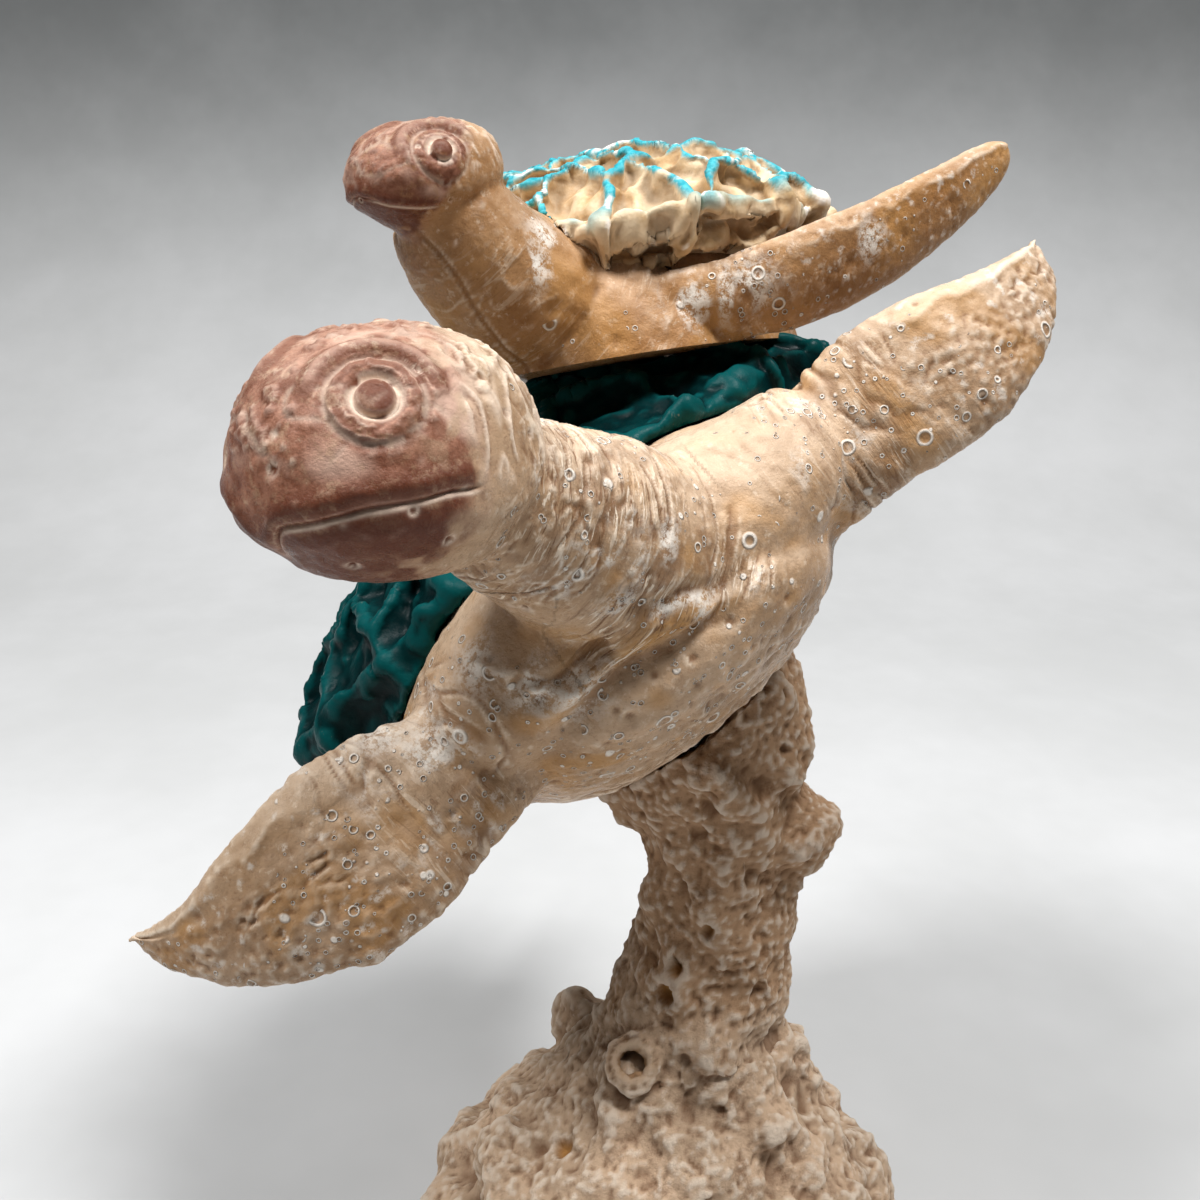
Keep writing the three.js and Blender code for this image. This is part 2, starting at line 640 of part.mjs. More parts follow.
function feltPad() {
  const ring = footRing(FOOT_CHAMFER + FELT_INSET, 0, 48);
  const outline = new THREE.Shape(ring.map((p) => new THREE.Vector2(p.x, p.y)));
  return solidOf(new THREE.ExtrudeGeometry(outline, { depth: FELT, bevelEnabled: false }));
}

// Assembly

const largePose = poseOf(LARGE);
const smallPose = poseOf(SMALL);
const toLarge = largePose.clone().invert();
const placed = (solid, matrix) => solidOf(geometryOf(solid).applyMatrix4(matrix));

const large = castTurtle(LARGE);
const small = castTurtle(SMALL);
const mound = coralMound();
const pillar = coralPillar(placed(torso(LARGE, GLUE), largePose), solidOf(below(MOUND_TOP + GLUE)));
large.body = cut(large.body, placed(rod(GLUE), toLarge));

const smallToLarge = toLarge.clone().multiply(smallPose);
const largeToSmall = smallToLarge.clone().invert();
small.body = cut(small.body, placed(cap(LARGE, GLUE), largeToSmall));

function seatPin(along, clearance = 0) {
  const low = v(along, SEAT_PINS.side, -PIN_IN_SHELL - clearance);
  const high = v(along, SEAT_PINS.side, PIN_IN_BODY + clearance);
  return solidOf(bar(PIN_RADIUS + clearance, low, high, 12));
}

const pins = { seat_pin_front: seatPin(SEAT_PINS.front), seat_pin_rear: seatPin(SEAT_PINS.rear) };
for (const along of [SEAT_PINS.front, SEAT_PINS.rear]) {
  small.body = cut(small.body, seatPin(along, GLUE));
  large.carapace = cut(large.carapace, placed(seatPin(along, GLUE), smallToLarge));
}

function meshOf(name, solid, material) {
  const mesh = new THREE.Mesh(geometryOf(solid), material);
  mesh.name = name;
  return mesh;
}

function turtleGroup(turtle, castings, shellFinish, pose) {
  const group = new THREE.Group();
  const finishes = { carapace: shellFinish, head: FACE_RESIN };
  for (const [part, solid] of Object.entries(castings)) {
    group.add(meshOf(`${turtle.name}_${part}`, solid, finishes[part] ?? BONE_RESIN));
  }
  group.applyMatrix4(pose);
  return group;
}

const figurine = new THREE.Group();
const largeGroup = turtleGroup(LARGE, large, TEAL_SHELL, largePose);
const smallGroup = turtleGroup(SMALL, small, NET_SHELL, smallPose);
for (const [name, solid] of Object.entries(pins)) smallGroup.add(meshOf(name, solid, STEEL));
figurine.add(
  meshOf("felt_pad", feltPad(), GREY_FELT),
  meshOf("coral_base", mound, CORAL_RESIN),
  meshOf("coral_pillar", pillar, CORAL_RESIN),
  meshOf("pillar_rod", rod(), STEEL),
  largeGroup,
  smallGroup,
);

export default figurine;
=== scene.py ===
"""Two cast resin sea turtles on a coral stand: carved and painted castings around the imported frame."""
import math

import bmesh
import bpy
import numpy as np
from mathutils import Euler, Matrix, Vector, noise


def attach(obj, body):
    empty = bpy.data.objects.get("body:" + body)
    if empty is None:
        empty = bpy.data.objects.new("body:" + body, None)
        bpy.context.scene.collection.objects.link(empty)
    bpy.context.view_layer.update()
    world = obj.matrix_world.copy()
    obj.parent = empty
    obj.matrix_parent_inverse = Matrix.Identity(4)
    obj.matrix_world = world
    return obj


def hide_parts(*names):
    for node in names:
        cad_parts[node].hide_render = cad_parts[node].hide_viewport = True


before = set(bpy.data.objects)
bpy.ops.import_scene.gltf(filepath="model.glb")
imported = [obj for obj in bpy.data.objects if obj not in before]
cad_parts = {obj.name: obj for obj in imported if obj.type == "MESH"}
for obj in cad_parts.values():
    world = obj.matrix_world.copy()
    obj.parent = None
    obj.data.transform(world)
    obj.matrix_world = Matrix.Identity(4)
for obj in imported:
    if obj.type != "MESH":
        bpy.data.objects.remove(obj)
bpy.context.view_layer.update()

MM = 0.001
RELAX, SWELL_BACK = 0.5, 0.51  # paces of smoothing, as shares of the way to the middle of the neighbours
SAW_WIDTH = 0.02  # the saw takes this much off the small turtle's flat underside, in millimetres


# Frames of the two turtles and of their heads, in millimetres: X forward, Y left, Z out of the back

def turned(at, heading, climb, bank):
    turn = Euler((math.radians(bank), math.radians(-climb), math.radians(heading)), "XYZ")
    return Matrix.Translation(at) @ turn.to_matrix().to_4x4()


LARGE = turned((-5.8, 8, 126.5), heading=-90, climb=30, bank=39)
LARGE_HEAD_AT = (79.7, -17.6, 23.2)
LARGE_HEAD = LARGE @ turned(LARGE_HEAD_AT, heading=-36, climb=-2, bank=-46)
SMALL = turned((-6, 21.5, 171), heading=-120, climb=6, bank=14)
SMALL_HEAD_AT = (45.6, -2.4, 28)
SMALL_HEAD = SMALL @ turned(SMALL_HEAD_AT, heading=-17, climb=-12, bank=-14)

# Glued joints

def glued(at, aim, reach, limb):
    """A cut across a limb: its middle, the way it faces, its reach, and a point out on the limb."""
    return {"at": at, "aim": aim, "reach": reach, "limb": limb}


LARGE_JOINTS = {
    "large_head": glued((59, -3, 13), (0.84, -0.25, 0.48), 24, limb=(80, -18, 23)),
    "large_fore_flipper_left": glued((44, 40, -3), (0.3, 0.95, 0.05), 21, limb=(39, 78, 5)),
    "large_fore_flipper_right": glued((44, -40, -5), (0.3, -0.95, 0), 21, limb=(39, -80, 9)),
    "large_hind_flipper_left": glued((-49, 28, -4), (-0.85, 0.5, 0), 15, limb=(-70, 42, -2)),
    "large_hind_flipper_right": glued((-49, -28, -4), (-0.85, -0.5, 0), 15, limb=(-70, -42, -2)),
}
SMALL_JOINTS = {
    "small_fore_flipper_left": glued((13, 31, 8.3), (-0.3, 0.94, 0.17), 12, limb=(-17, 60, 22)),
    "small_fore_flipper_right": glued((28, -23, 2.6), (0.35, -0.93, -0.1), 11, limb=(33, -48, 10)),
    "small_hind_flipper_left": glued((-38.4, 21.5, 8.8), (-0.86, 0.49, 0.16), 9, limb=(-58, 32, 14)),
    "small_hind_flipper_right": glued((-37, -19, 6.8), (-0.91, -0.41, 0), 9, limb=(-56, -27, 9)),
}
CORAL_JOINTS = {"coral_pillar": glued((7, 10, 48), (0.2, 0.32, 0.93), 23, limb=(12, 12, 85))}

# How far the edges of the large fore flippers swell or draw in, at distances out past the joint
EDGE_SWELL = {
    "large_fore_flipper_left": {
        "lead": [(-14, 0), (-8, 2), (-2, 4), (6, 4), (14, 2.8), (24, 1), (34, 0)],
        "trail": [(0, 0), (12, 1.8), (25, 2), (40, 0.8), (50, 0)],
    },
    "large_fore_flipper_right": {
        "lead": [(18, 0), (26, -1.2), (33, -3.2), (39, -4), (45, -3.2), (50, -1.6), (55, 0), (60, 1)],
        "trail": [(22, 0), (34, 1), (46, 0.8), (54, 0), (60, -1)],
    },
}

# Faces, each in its own frame. The brown paint starts where x + rise * z - side * |y| passes a value,
# with drop in place of rise below the middle.
LARGE_FACE = {
    "frame": LARGE_HEAD @ turned((0, 0, 0), heading=-12, climb=0, bank=0),
    "reach": 27,
    "eye": (11.3, 10.4, 10.2),
    "gaze": (0.40, 0.575, 0.71),
    "eye_size": 0.53,
    "lip": {"middle": -3.9, "slope": 0.28, "beak": 2.2, "beak_half": 2.0},
    "mouth_size": 1.0,
    "corner": 3.0,
    "brown": {"rise": 0.1, "drop": 0.5, "lowest": -7, "side": 0.45, "from": -4.4, "soft": 3.4},
    "brow": 9.0,
    "scale": 4.8,
}
SMALL_FACE = {
    "frame": SMALL_HEAD,
    "reach": 15.5,
    "eye": (3.1, 7.9, 3.7),
    "gaze": (0.175, 0.795, 0.58),
    "eye_size": 0.42,
    "lip": {"middle": -0.1, "slope": -0.42, "beak": 0.3, "beak_half": 1.0},
    "mouth_size": 0.55,
    "corner": 5.0,
    "brown": {"rise": 1.0, "drop": 1.0, "lowest": -4, "side": 0.0, "from": 1.7, "soft": 1.2},
    "brow": 4.6,
    "scale": 3.2,
}

# Inner ends of the two necks, and the small throat
LARGE_NECK_ROOT = (40, -12, 12)
SMALL_NECK_ROOT = (20, 0, 8)
SMALL_THROAT = (50, -4, 19)

# The breast plate's lip, on the large turtle: its depth below the middle, and its fall from one side on
LIP_DEPTH, LIP_FALL, LIP_FALL_FROM = 5.7, 0.24, -8

# Ways from the trailing to the leading edge of the flippers
LARGE_FORE_LEAD = (0.17, 0, 0.98)
SMALL_FORE_LEAD = (0.42, 0, 0.9)
HIND_LEAD = (0.97, 0, 0.26)

# White filler: a torn edge along the neck's root, and smears over the joints, each a place and a spread
NECK_EDGE = [(52, -27, 10), (53.8, -23.2, 4.9), (55, -19.6, -3.1), (54.6, -16.2, -5.9)]
LARGE_FILLER = [
    ((53.8, -23.2, 4.9), 4), ((55, -19.6, -3.1), 4), ((54.6, -16.2, -5.9), 4), ((63.3, -5.5, -1.6), 3),
    ((65.7, 2.6, 0.8), 3), ((57.7, 2, -6.4), 3), ((48, -36, 0), 5), ((46, -40, 6), 4),
]
SMALL_FILLER = [
    ((35.7, 8.7, 18.1), 3), ((38.9, 8.2, 13.9), 3), ((21, 22.5, 6.6), 4), ((19, 26.4, 6.6), 4),
    ((16.7, 30.3, 7.3), 3.5), ((4.8, 45.1, 11.2), 3),
]

# Shells in plan: reach ahead, behind and to a side, and the height of the small rim's upper edge
LARGE_SHELL = {"front": 46, "back": 62, "half": 58}
SMALL_SHELL = {"front": 32, "back": 41, "half": 35.5, "rim": 19}
RIDER_SEAT = (20, 14, 35)  # where the large shell swells up under the small turtle

# Paint, in linear light
TAN = (0.55, 0.375, 0.24)
TAN_DEEP = (0.40, 0.25, 0.14)
PALE_CREST = (0.84, 0.70, 0.55)
HONEY = (0.43, 0.24, 0.11)
HONEY_DEEP = (0.32, 0.155, 0.058)
WASH_AND_SHADE = (0.17, 0.072, 0.026)
CHALK = (0.86, 0.80, 0.72)
MAUVE = (0.205, 0.072, 0.038)
MAUVE_PALE = (0.34, 0.15, 0.092)
UMBER = (0.10, 0.022, 0.008)
FLESH = (0.68, 0.46, 0.36)
PALE_LINE = (0.82, 0.66, 0.53)
OCHRE = (0.50, 0.25, 0.07)
TEAL = (0.001, 0.024, 0.025)
TEAL_DEEP = (0.0005, 0.010, 0.011)
TEAL_RUBBED = (0.0015, 0.062, 0.063)
TURQUOISE = (0.02, 0.30, 0.37)
TURQUOISE_PALE = (0.10, 0.50, 0.56)
CREAM = (0.78, 0.62, 0.42)
CREAM_DEEP = (0.55, 0.36, 0.18)
CORAL = (0.66, 0.47, 0.32)
CORAL_GREY = (0.52, 0.37, 0.25)
CORAL_TAN = (0.45, 0.255, 0.13)
CORAL_BROWN = (0.16, 0.070, 0.030)
SAND = (0.84, 0.72, 0.59)
STEEL_DULL = (0.42, 0.42, 0.43)
STEEL_BRIGHT = (0.58, 0.58, 0.59)
FIBRE_DARK = (0.03, 0.03, 0.032)
FIBRE_PALE = (0.08, 0.08, 0.085)


# Shaping functions on arrays

def bell(value, centre, width):
    return np.exp(-(((value - centre) / width) ** 2))


def ramp(value, low, high):
    share = np.clip((value - low) / (high - low), 0, 1)
    return share * share * (3 - 2 * share)


def lengths(vectors):
    return np.linalg.norm(vectors, axis=1)


def far_from(points, place):
    return lengths(points - np.array(place))


def unit(vector):
    return np.array(vector) / np.linalg.norm(vector)


def from_line(points, stops):
    """Distance from a line through a few stops."""
    nearest = np.full(len(points), np.inf)
    for start, end in zip(np.array(stops), np.array(stops[1:])):
        share = np.clip((points - start) @ (end - start) / ((end - start) @ (end - start)), 0, 1)
        nearest = np.minimum(nearest, lengths(points - start - share[:, None] * (end - start)))
    return nearest


def grain(points, pitch, shift=0.0):
    """Smooth noise between about -1 and 1 whose features are about one pitch wide."""
    return np.array([noise.noise(p) for p in (points / pitch + shift).tolist()])


def patches(points, pitch, shift, low, high):
    """Scattered patches with soft edges: 1 in a patch, 0 outside."""
    return ramp(grain(points, pitch, shift), low, high)


def pits(points, pitch, share, shift=0.0, width=0.27):
    """Scattered round pits: 1 in the middle of one, 0 outside. The share says how many cells hold a pit."""
    found = [noise.voronoi(p) for p in (points / pitch + shift).tolist()]
    near = np.array([reach[0] for reach, _ in found])
    lot = np.array([noise.cell(places[0] * 7.3) for _, places in found])
    return (lot < share) * bell(near, 0, width)


def ringed(points, centre, towards, along, across):
    """Noise space for folds that run in rings round a centre: one pitch outwards, a longer one round."""
    away = points - np.array(centre)
    reach = lengths(away)
    usual_reach = 40
    return away / reach[:, None] * (usual_reach / across) + unit(towards) * (reach / along)[:, None]


def creases(space, width=0.15):
    """Thin wandering lines in a noise space: 1 in the crease."""
    return bell(grain(space, 1.0), 0, width)


def drift(points, pitch, shifts=(1.3, 6.1, 9.7)):
    """Slow sideways noise, one vector for each point."""
    return np.stack([grain(points, pitch, shift) for shift in shifts], 1)


def cracked(space, width=0.1):
    """Thin creases in a noise space that wander and break off: 1 in the crease."""
    return creases(space + 0.6 * drift(space, 1.9), width) * ramp(grain(space, 2.3, 4.4), -0.25, 0.2)


def torn_folds(space, shift=0.0):
    """Ragged wrinkles in a noise space: 1 on a crest, 0 between them. They break off along their run."""
    crest = np.clip(1 - np.abs(grain(space + 0.7 * drift(space, 1.9), 1.0, shift)) / 0.3, 0, 1)
    return crest * ramp(grain(space, 2.3, shift + 4.4), -0.3, 0.25)


# Meshes

def merged_copy(*nodes):
    """A bmesh holding copies of CAD nodes with their doubles merged."""
    bm = bmesh.new()
    for node in nodes:
        bm.from_mesh(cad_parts[node].data)
    bmesh.ops.remove_doubles(bm, verts=bm.verts, dist=1e-6)
    return bm


def everything(bm):
    return bm.verts[:] + bm.edges[:] + bm.faces[:]


def mesh_from(bm, name):
    mesh = bpy.data.meshes.new(name)
    bm.to_mesh(mesh)
    bm.free()
    return mesh


def remeshed(mesh, voxel):
    """An even mesh of small squares over the same body."""
    blank = linked("blank", mesh)
    cover = blank.modifiers.new("cover", "REMESH")
    cover.mode = "VOXEL"
    cover.voxel_size = voxel * MM
    seen = blank.evaluated_get(bpy.context.evaluated_depsgraph_get())
    even = bpy.data.meshes.new_from_object(seen)
    bpy.data.objects.remove(blank)
    return even


def points_of(mesh):
    flat = np.zeros(len(mesh.vertices) * 3)
    mesh.vertices.foreach_get("co", flat)
    return flat.reshape(-1, 3) / MM


def set_points(mesh, points):
    mesh.vertices.foreach_set("co", (points * MM).ravel())
    mesh.update()


def relaxed(mesh, paces):
    """The mesh's points after each has moved by each pace towards the middle of its neighbours, in turn."""
    ends = np.zeros(len(mesh.edges) * 2, np.int64)
    mesh.edges.foreach_get("vertices", ends)
    a, b = ends.reshape(-1, 2).T
    count = len(mesh.vertices)
    share = (np.bincount(a, minlength=count) + np.bincount(b, minlength=count))[:, None]
    points = points_of(mesh)
    for pace in paces:
        total = np.zeros_like(points)
        for k in range(3):
            total[:, k] = np.bincount(a, points[b, k], count) + np.bincount(b, points[a, k], count)
        points = points + pace * (total / share - points)
    return points


def settled(mesh, rounds):
    """Smooths facets and creases without shrinking the body: each round relaxes it, then swells it back."""
    set_points(mesh, relaxed(mesh, [RELAX, -SWELL_BACK] * rounds))
    return mesh


def in_metres(at):
    return Matrix.Scale(MM, 4) @ at @ Matrix.Scale(1 / MM, 4)


def fused(body, limbs, voxel, rounds, sawn=None):
    """One smooth skin over a body and its limbs. A sawn body is doubled downwards, to stay full there."""
    bm = merged_copy(body)
    if sawn:
        below = in_metres(sawn) @ Matrix.Scale(-1, 4, (0, 0, 1)) @ in_metres(sawn).inverted()
        twin = bmesh.ops.duplicate(bm, geom=everything(bm))["geom"]
        bmesh.ops.transform(bm, matrix=below, verts=[g for g in twin if isinstance(g, bmesh.types.BMVert)])
        bmesh.ops.reverse_faces(bm, faces=[g for g in twin if isinstance(g, bmesh.types.BMFace)])
    whole = mesh_from(bm, "skin")
    joined = merged_copy(*limbs)
    joined.from_mesh(whole)
    return settled(remeshed(mesh_from(joined, "skin"), voxel), rounds)


def refined(mesh, chosen):
    """Halves the squares of a mesh at the chosen points."""
    bm = bmesh.new()
    bm.from_mesh(mesh)
    edges = [e for e in bm.edges if chosen[e.verts[0].index] and chosen[e.verts[1].index]]
    bmesh.ops.subdivide_edges(bm, edges=edges, cuts=1, use_grid_fill=True)
    return settled(mesh_from(bm, mesh.name), 3)


def island(face):
    """Every face that can be reached from one face."""
    found = {face}
    queue = [face]
    while queue:
        for edge in queue.pop().edges:
            for other in edge.link_faces:
                if other not in found:
                    found.add(other)
                    queue.append(other)
    return found


def parted(skin, joints, at, rest):
    """Cuts a skin at its joints into closed pieces: one for each joint, and the rest."""
    bm = bmesh.new()
    bm.from_mesh(skin)
    for joint in joints.values():
        centre = at @ Vector(joint["at"]) * MM
        near = [f for f in bm.faces if (f.calc_center_median() - centre).length < joint["reach"] * MM]
        geom = {*near, *(e for f in near for e in f.edges), *(v for f in near for v in f.verts)}
        aim = at.to_3x3() @ Vector(joint["aim"])
        made = bmesh.ops.bisect_plane(bm, geom=list(geom), plane_co=centre, plane_no=aim)
        cut = [e for e in made["geom_cut"] if isinstance(e, bmesh.types.BMEdge)]
        bmesh.ops.split_edges(bm, edges=cut)
    bm.faces.index_update()
    limbs = {}
    for name, joint in joints.items():
        tip = at @ Vector(joint["limb"]) * MM
        nearest = min(bm.faces, key=lambda f: (f.calc_center_median() - tip).length)
        limbs[name] = {f.index for f in island(nearest)}
    left = {f.index for f in bm.faces}.difference(*limbs.values())
    meshes = {name: closed_copy(bm, faces, name) for name, faces in {**limbs, rest: left}.items()}
    bm.free()
    return meshes


def closed_copy(bm, faces, name):
    part = bm.copy()
    bmesh.ops.delete(part, geom=[f for f in part.faces if f.index not in faces], context="FACES")
    return mesh_from(capped(part), name)


def capped(bm):
    """Closes open cuts with flat faces and crisp edges."""
    for cap in bmesh.ops.holes_fill(bm, edges=bm.edges, sides=0)["faces"]:
        cap.smooth = False
        for edge in cap.edges:
            edge.smooth = False
    return bm


def sawn_flat(mesh, at):
    """Cuts off what lies below a frame's floor."""
    bm = bmesh.new()
    bm.from_mesh(mesh)
    up = at.to_3x3() @ Vector((0, 0, 1))
    saw_cut = at.translation * MM + up * SAW_WIDTH * MM
    bmesh.ops.bisect_plane(bm, geom=everything(bm), plane_co=saw_cut, plane_no=up, clear_inner=True)
    return mesh_from(capped(bm), mesh.name)


def from_frame(points, at):
    """Points of the row's frame as seen in another frame."""
    back = np.array(at.inverted())
    return points @ back[:3, :3].T + back[:3, 3]


class Casting:
    """A casting ready to carve and paint: its points and normals in millimetres, in the row's frame."""

    def __init__(self, mesh):
        self.mesh = mesh
        self.masks = {}
        self.read()

    def read(self):
        self.points = points_of(self.mesh)
        flat = np.zeros(len(self.points) * 3)
        self.mesh.vertex_normals.foreach_get("vector", flat)
        self.normals = flat.reshape(-1, 3)

    def seen_from(self, at):
        return from_frame(self.points, at)

    def facing(self, at):
        """The normals in another frame."""
        return self.normals @ np.array(at.inverted())[:3, :3].T

    def push(self, depth, where=slice(None)):
        """Moves the surface out along its normals, or in where the depth is negative."""
        points = self.points.copy()
        points[where] += self.normals[where] * depth[:, None]
        set_points(self.mesh, points)
        self.read()

    def sway(self, steps):
        """Moves the points by one step each."""
        set_points(self.mesh, self.points + steps)
        self.read()

    def soften(self, strength, rounds):
        set_points(self.mesh, relaxed(self.mesh, [RELAX * strength[:, None]] * rounds))
        self.read()

    def hollows(self, rounds):
        """How deep each point lies below the surface around it, in millimetres."""
        return ((relaxed(self.mesh, [0.6] * rounds) - self.points) * self.normals).sum(1)

    def paint(self, name, values, where=slice(None)):
        """Lays a mask over what is there: the stronger of the two shows."""
        layer = self.masks.setdefault(name, np.zeros(len(self.points)))
        layer[where] = np.maximum(layer[where], np.clip(values, 0, 1))

    def measure(self, name, values, where=slice(None)):
        """Keeps a length in millimetres for the material."""
        self.masks.setdefault(name, np.zeros(len(self.points)))[where] = values

    def painted(self):
        """The mesh with its masks as attributes."""
        for name, values in self.masks.items():
            layer = self.mesh.attributes.new(name, "FLOAT", "POINT")
            layer.data.foreach_set("value", values.astype(np.float32))
        self.mesh.polygons.foreach_set("use_smooth", [True] * len(self.mesh.polygons))
        return self.mesh


def linked(name, data):
    """A new object in the scene."""
    made = bpy.data.objects.new(name, data)
    bpy.context.collection.objects.link(made)
    return made


def paint_all(mesh, material):
    mesh.materials.clear()
    mesh.materials.append(material)


def place(node, mesh, material, slot, ending="_cast"):
    """Puts a finished piece in place of its CAD node."""
    paint_all(mesh, material)
    piece = linked(node + ending, mesh)
    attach(piece, "root")
    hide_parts(node)
    return piece


# Materials

class Paint:
    """A node material under construction, with patterns on Object coordinates."""

    def __init__(self, name):
        self.material = bpy.data.materials.new(name)
        self.material.use_nodes = True
        self.tree = self.material.node_tree
        self.shader = self.tree.nodes["Principled BSDF"]
        self.where = self.node("TexCoord").outputs["Object"]

    def node(self, kind):
        return self.tree.nodes.new("ShaderNode" + kind)

    def link(self, value, socket):
        if isinstance(value, bpy.types.NodeSocket):
            self.tree.links.new(value, socket)
        else:
            socket.default_value = (*value, 1) if isinstance(value, tuple) else value

    def noise(self, pitch, detail=4.0, rough=0.6, where=None, warp=0.0):
        made = self.node("TexNoise")
        made.inputs["Scale"].default_value = 1 / (pitch * MM)
        made.inputs["Detail"].default_value = detail
        made.inputs["Roughness"].default_value = rough
        made.inputs["Distortion"].default_value = warp
        self.link(self.where if where is None else where, made.inputs["Vector"])
        return made.outputs["Fac"]

    def rings(self, stretch):
        """Coordinates stretched round the rings that the ring measure counts out in millimetres."""
        around = self.node("VectorMath")
        around.operation = "SCALE"
        around.inputs["Scale"].default_value = 1 / stretch
        self.link(self.where, around.inputs[0])
        outwards = self.node("CombineXYZ")
        self.link(self.math("MULTIPLY", self.mask("ring"), MM), outwards.inputs["X"])
        both = self.node("VectorMath")
        self.link(around.outputs[0], both.inputs[0])
        self.link(outwards.outputs[0], both.inputs[1])
        return both.outputs[0]

    def cells(self, pitch):
        """Distance from the nearest of many scattered points, and two random numbers for that point."""
        made = self.node("TexVoronoi")
        made.inputs["Scale"].default_value = 1 / (pitch * MM)
        self.link(self.where, made.inputs["Vector"])
        lots = self.node("SeparateColor")
        self.link(made.outputs["Color"], lots.inputs[0])
        return made.outputs["Distance"], lots.outputs[0], lots.outputs[1]

    def mask(self, name):
        made = self.node("Attribute")
        made.attribute_name = name
        return made.outputs["Fac"]

    def ramp(self, value, low, high, start=0.0, end=1.0):
        made = self.node("MapRange")
        made.interpolation_type = "SMOOTHSTEP"
        self.link(value, made.inputs["Value"])
        for name, number in (("From Min", low), ("From Max", high), ("To Min", start), ("To Max", end)):
            made.inputs[name].default_value = number
        return made.outputs["Result"]

    def math(self, kind, a, b):
        made = self.node("Math")
        made.operation = kind
        self.link(a, made.inputs[0])
        self.link(b, made.inputs[1])
        return made.outputs[0]

    def mix(self, share, under, over):
        made = self.node("Mix")
        made.data_type = "RGBA"
        self.link(share, made.inputs[0])
        self.link(under, made.inputs[6])
        self.link(over, made.inputs[7])
        return made.outputs[2]

    def coat(self, under, over, share, strength=1.0):
        """One colour laid over another, by a share that a strength may weaken."""
        return self.mix(share if strength == 1.0 else self.math("MULTIPLY", share, strength), under, over)

    def coats(self, colour, layers):
        """Colours laid one after another through masks, each with its strength."""
        for over, name, strength in layers:
            colour = self.coat(colour, over, self.mask(name), strength)
        return colour

    def bump(self, height, depth, under=None):
        made = self.node("Bump")
        made.inputs["Distance"].default_value = depth * MM
        self.link(height, made.inputs["Height"])
        if under is not None:
            self.link(under, made.inputs["Normal"])
        return made.outputs["Normal"]

    def finish(self, colour, roughness, normal=None, gloss=0.12):
        self.shader.inputs["Specular IOR Level"].default_value = gloss
        self.link(colour, self.shader.inputs["Base Color"])
        self.link(roughness, self.shader.inputs["Roughness"])
        if normal is not None:
            self.link(normal, self.shader.inputs["Normal"])
        return self.material


def bubbles(paint, pitch, where):
    """Raised rims and pits of burst air bubbles of mixed sizes. They crowd where the mask is strong."""
    distance, lot, size = paint.cells(pitch)
    radius = paint.ramp(size, 0, 1, 0.1, 0.32)
    out = paint.math("DIVIDE", distance, radius)
    some = paint.math("LESS_THAN", lot, where)
    rim = paint.math("MULTIPLY", paint.ramp(out, 0.66, 0.86), paint.ramp(out, 1.2, 0.95))
    pit = paint.ramp(out, 0.85, 0.4)
    return paint.math("MULTIPLY", rim, some), paint.math("MULTIPLY", pit, some)


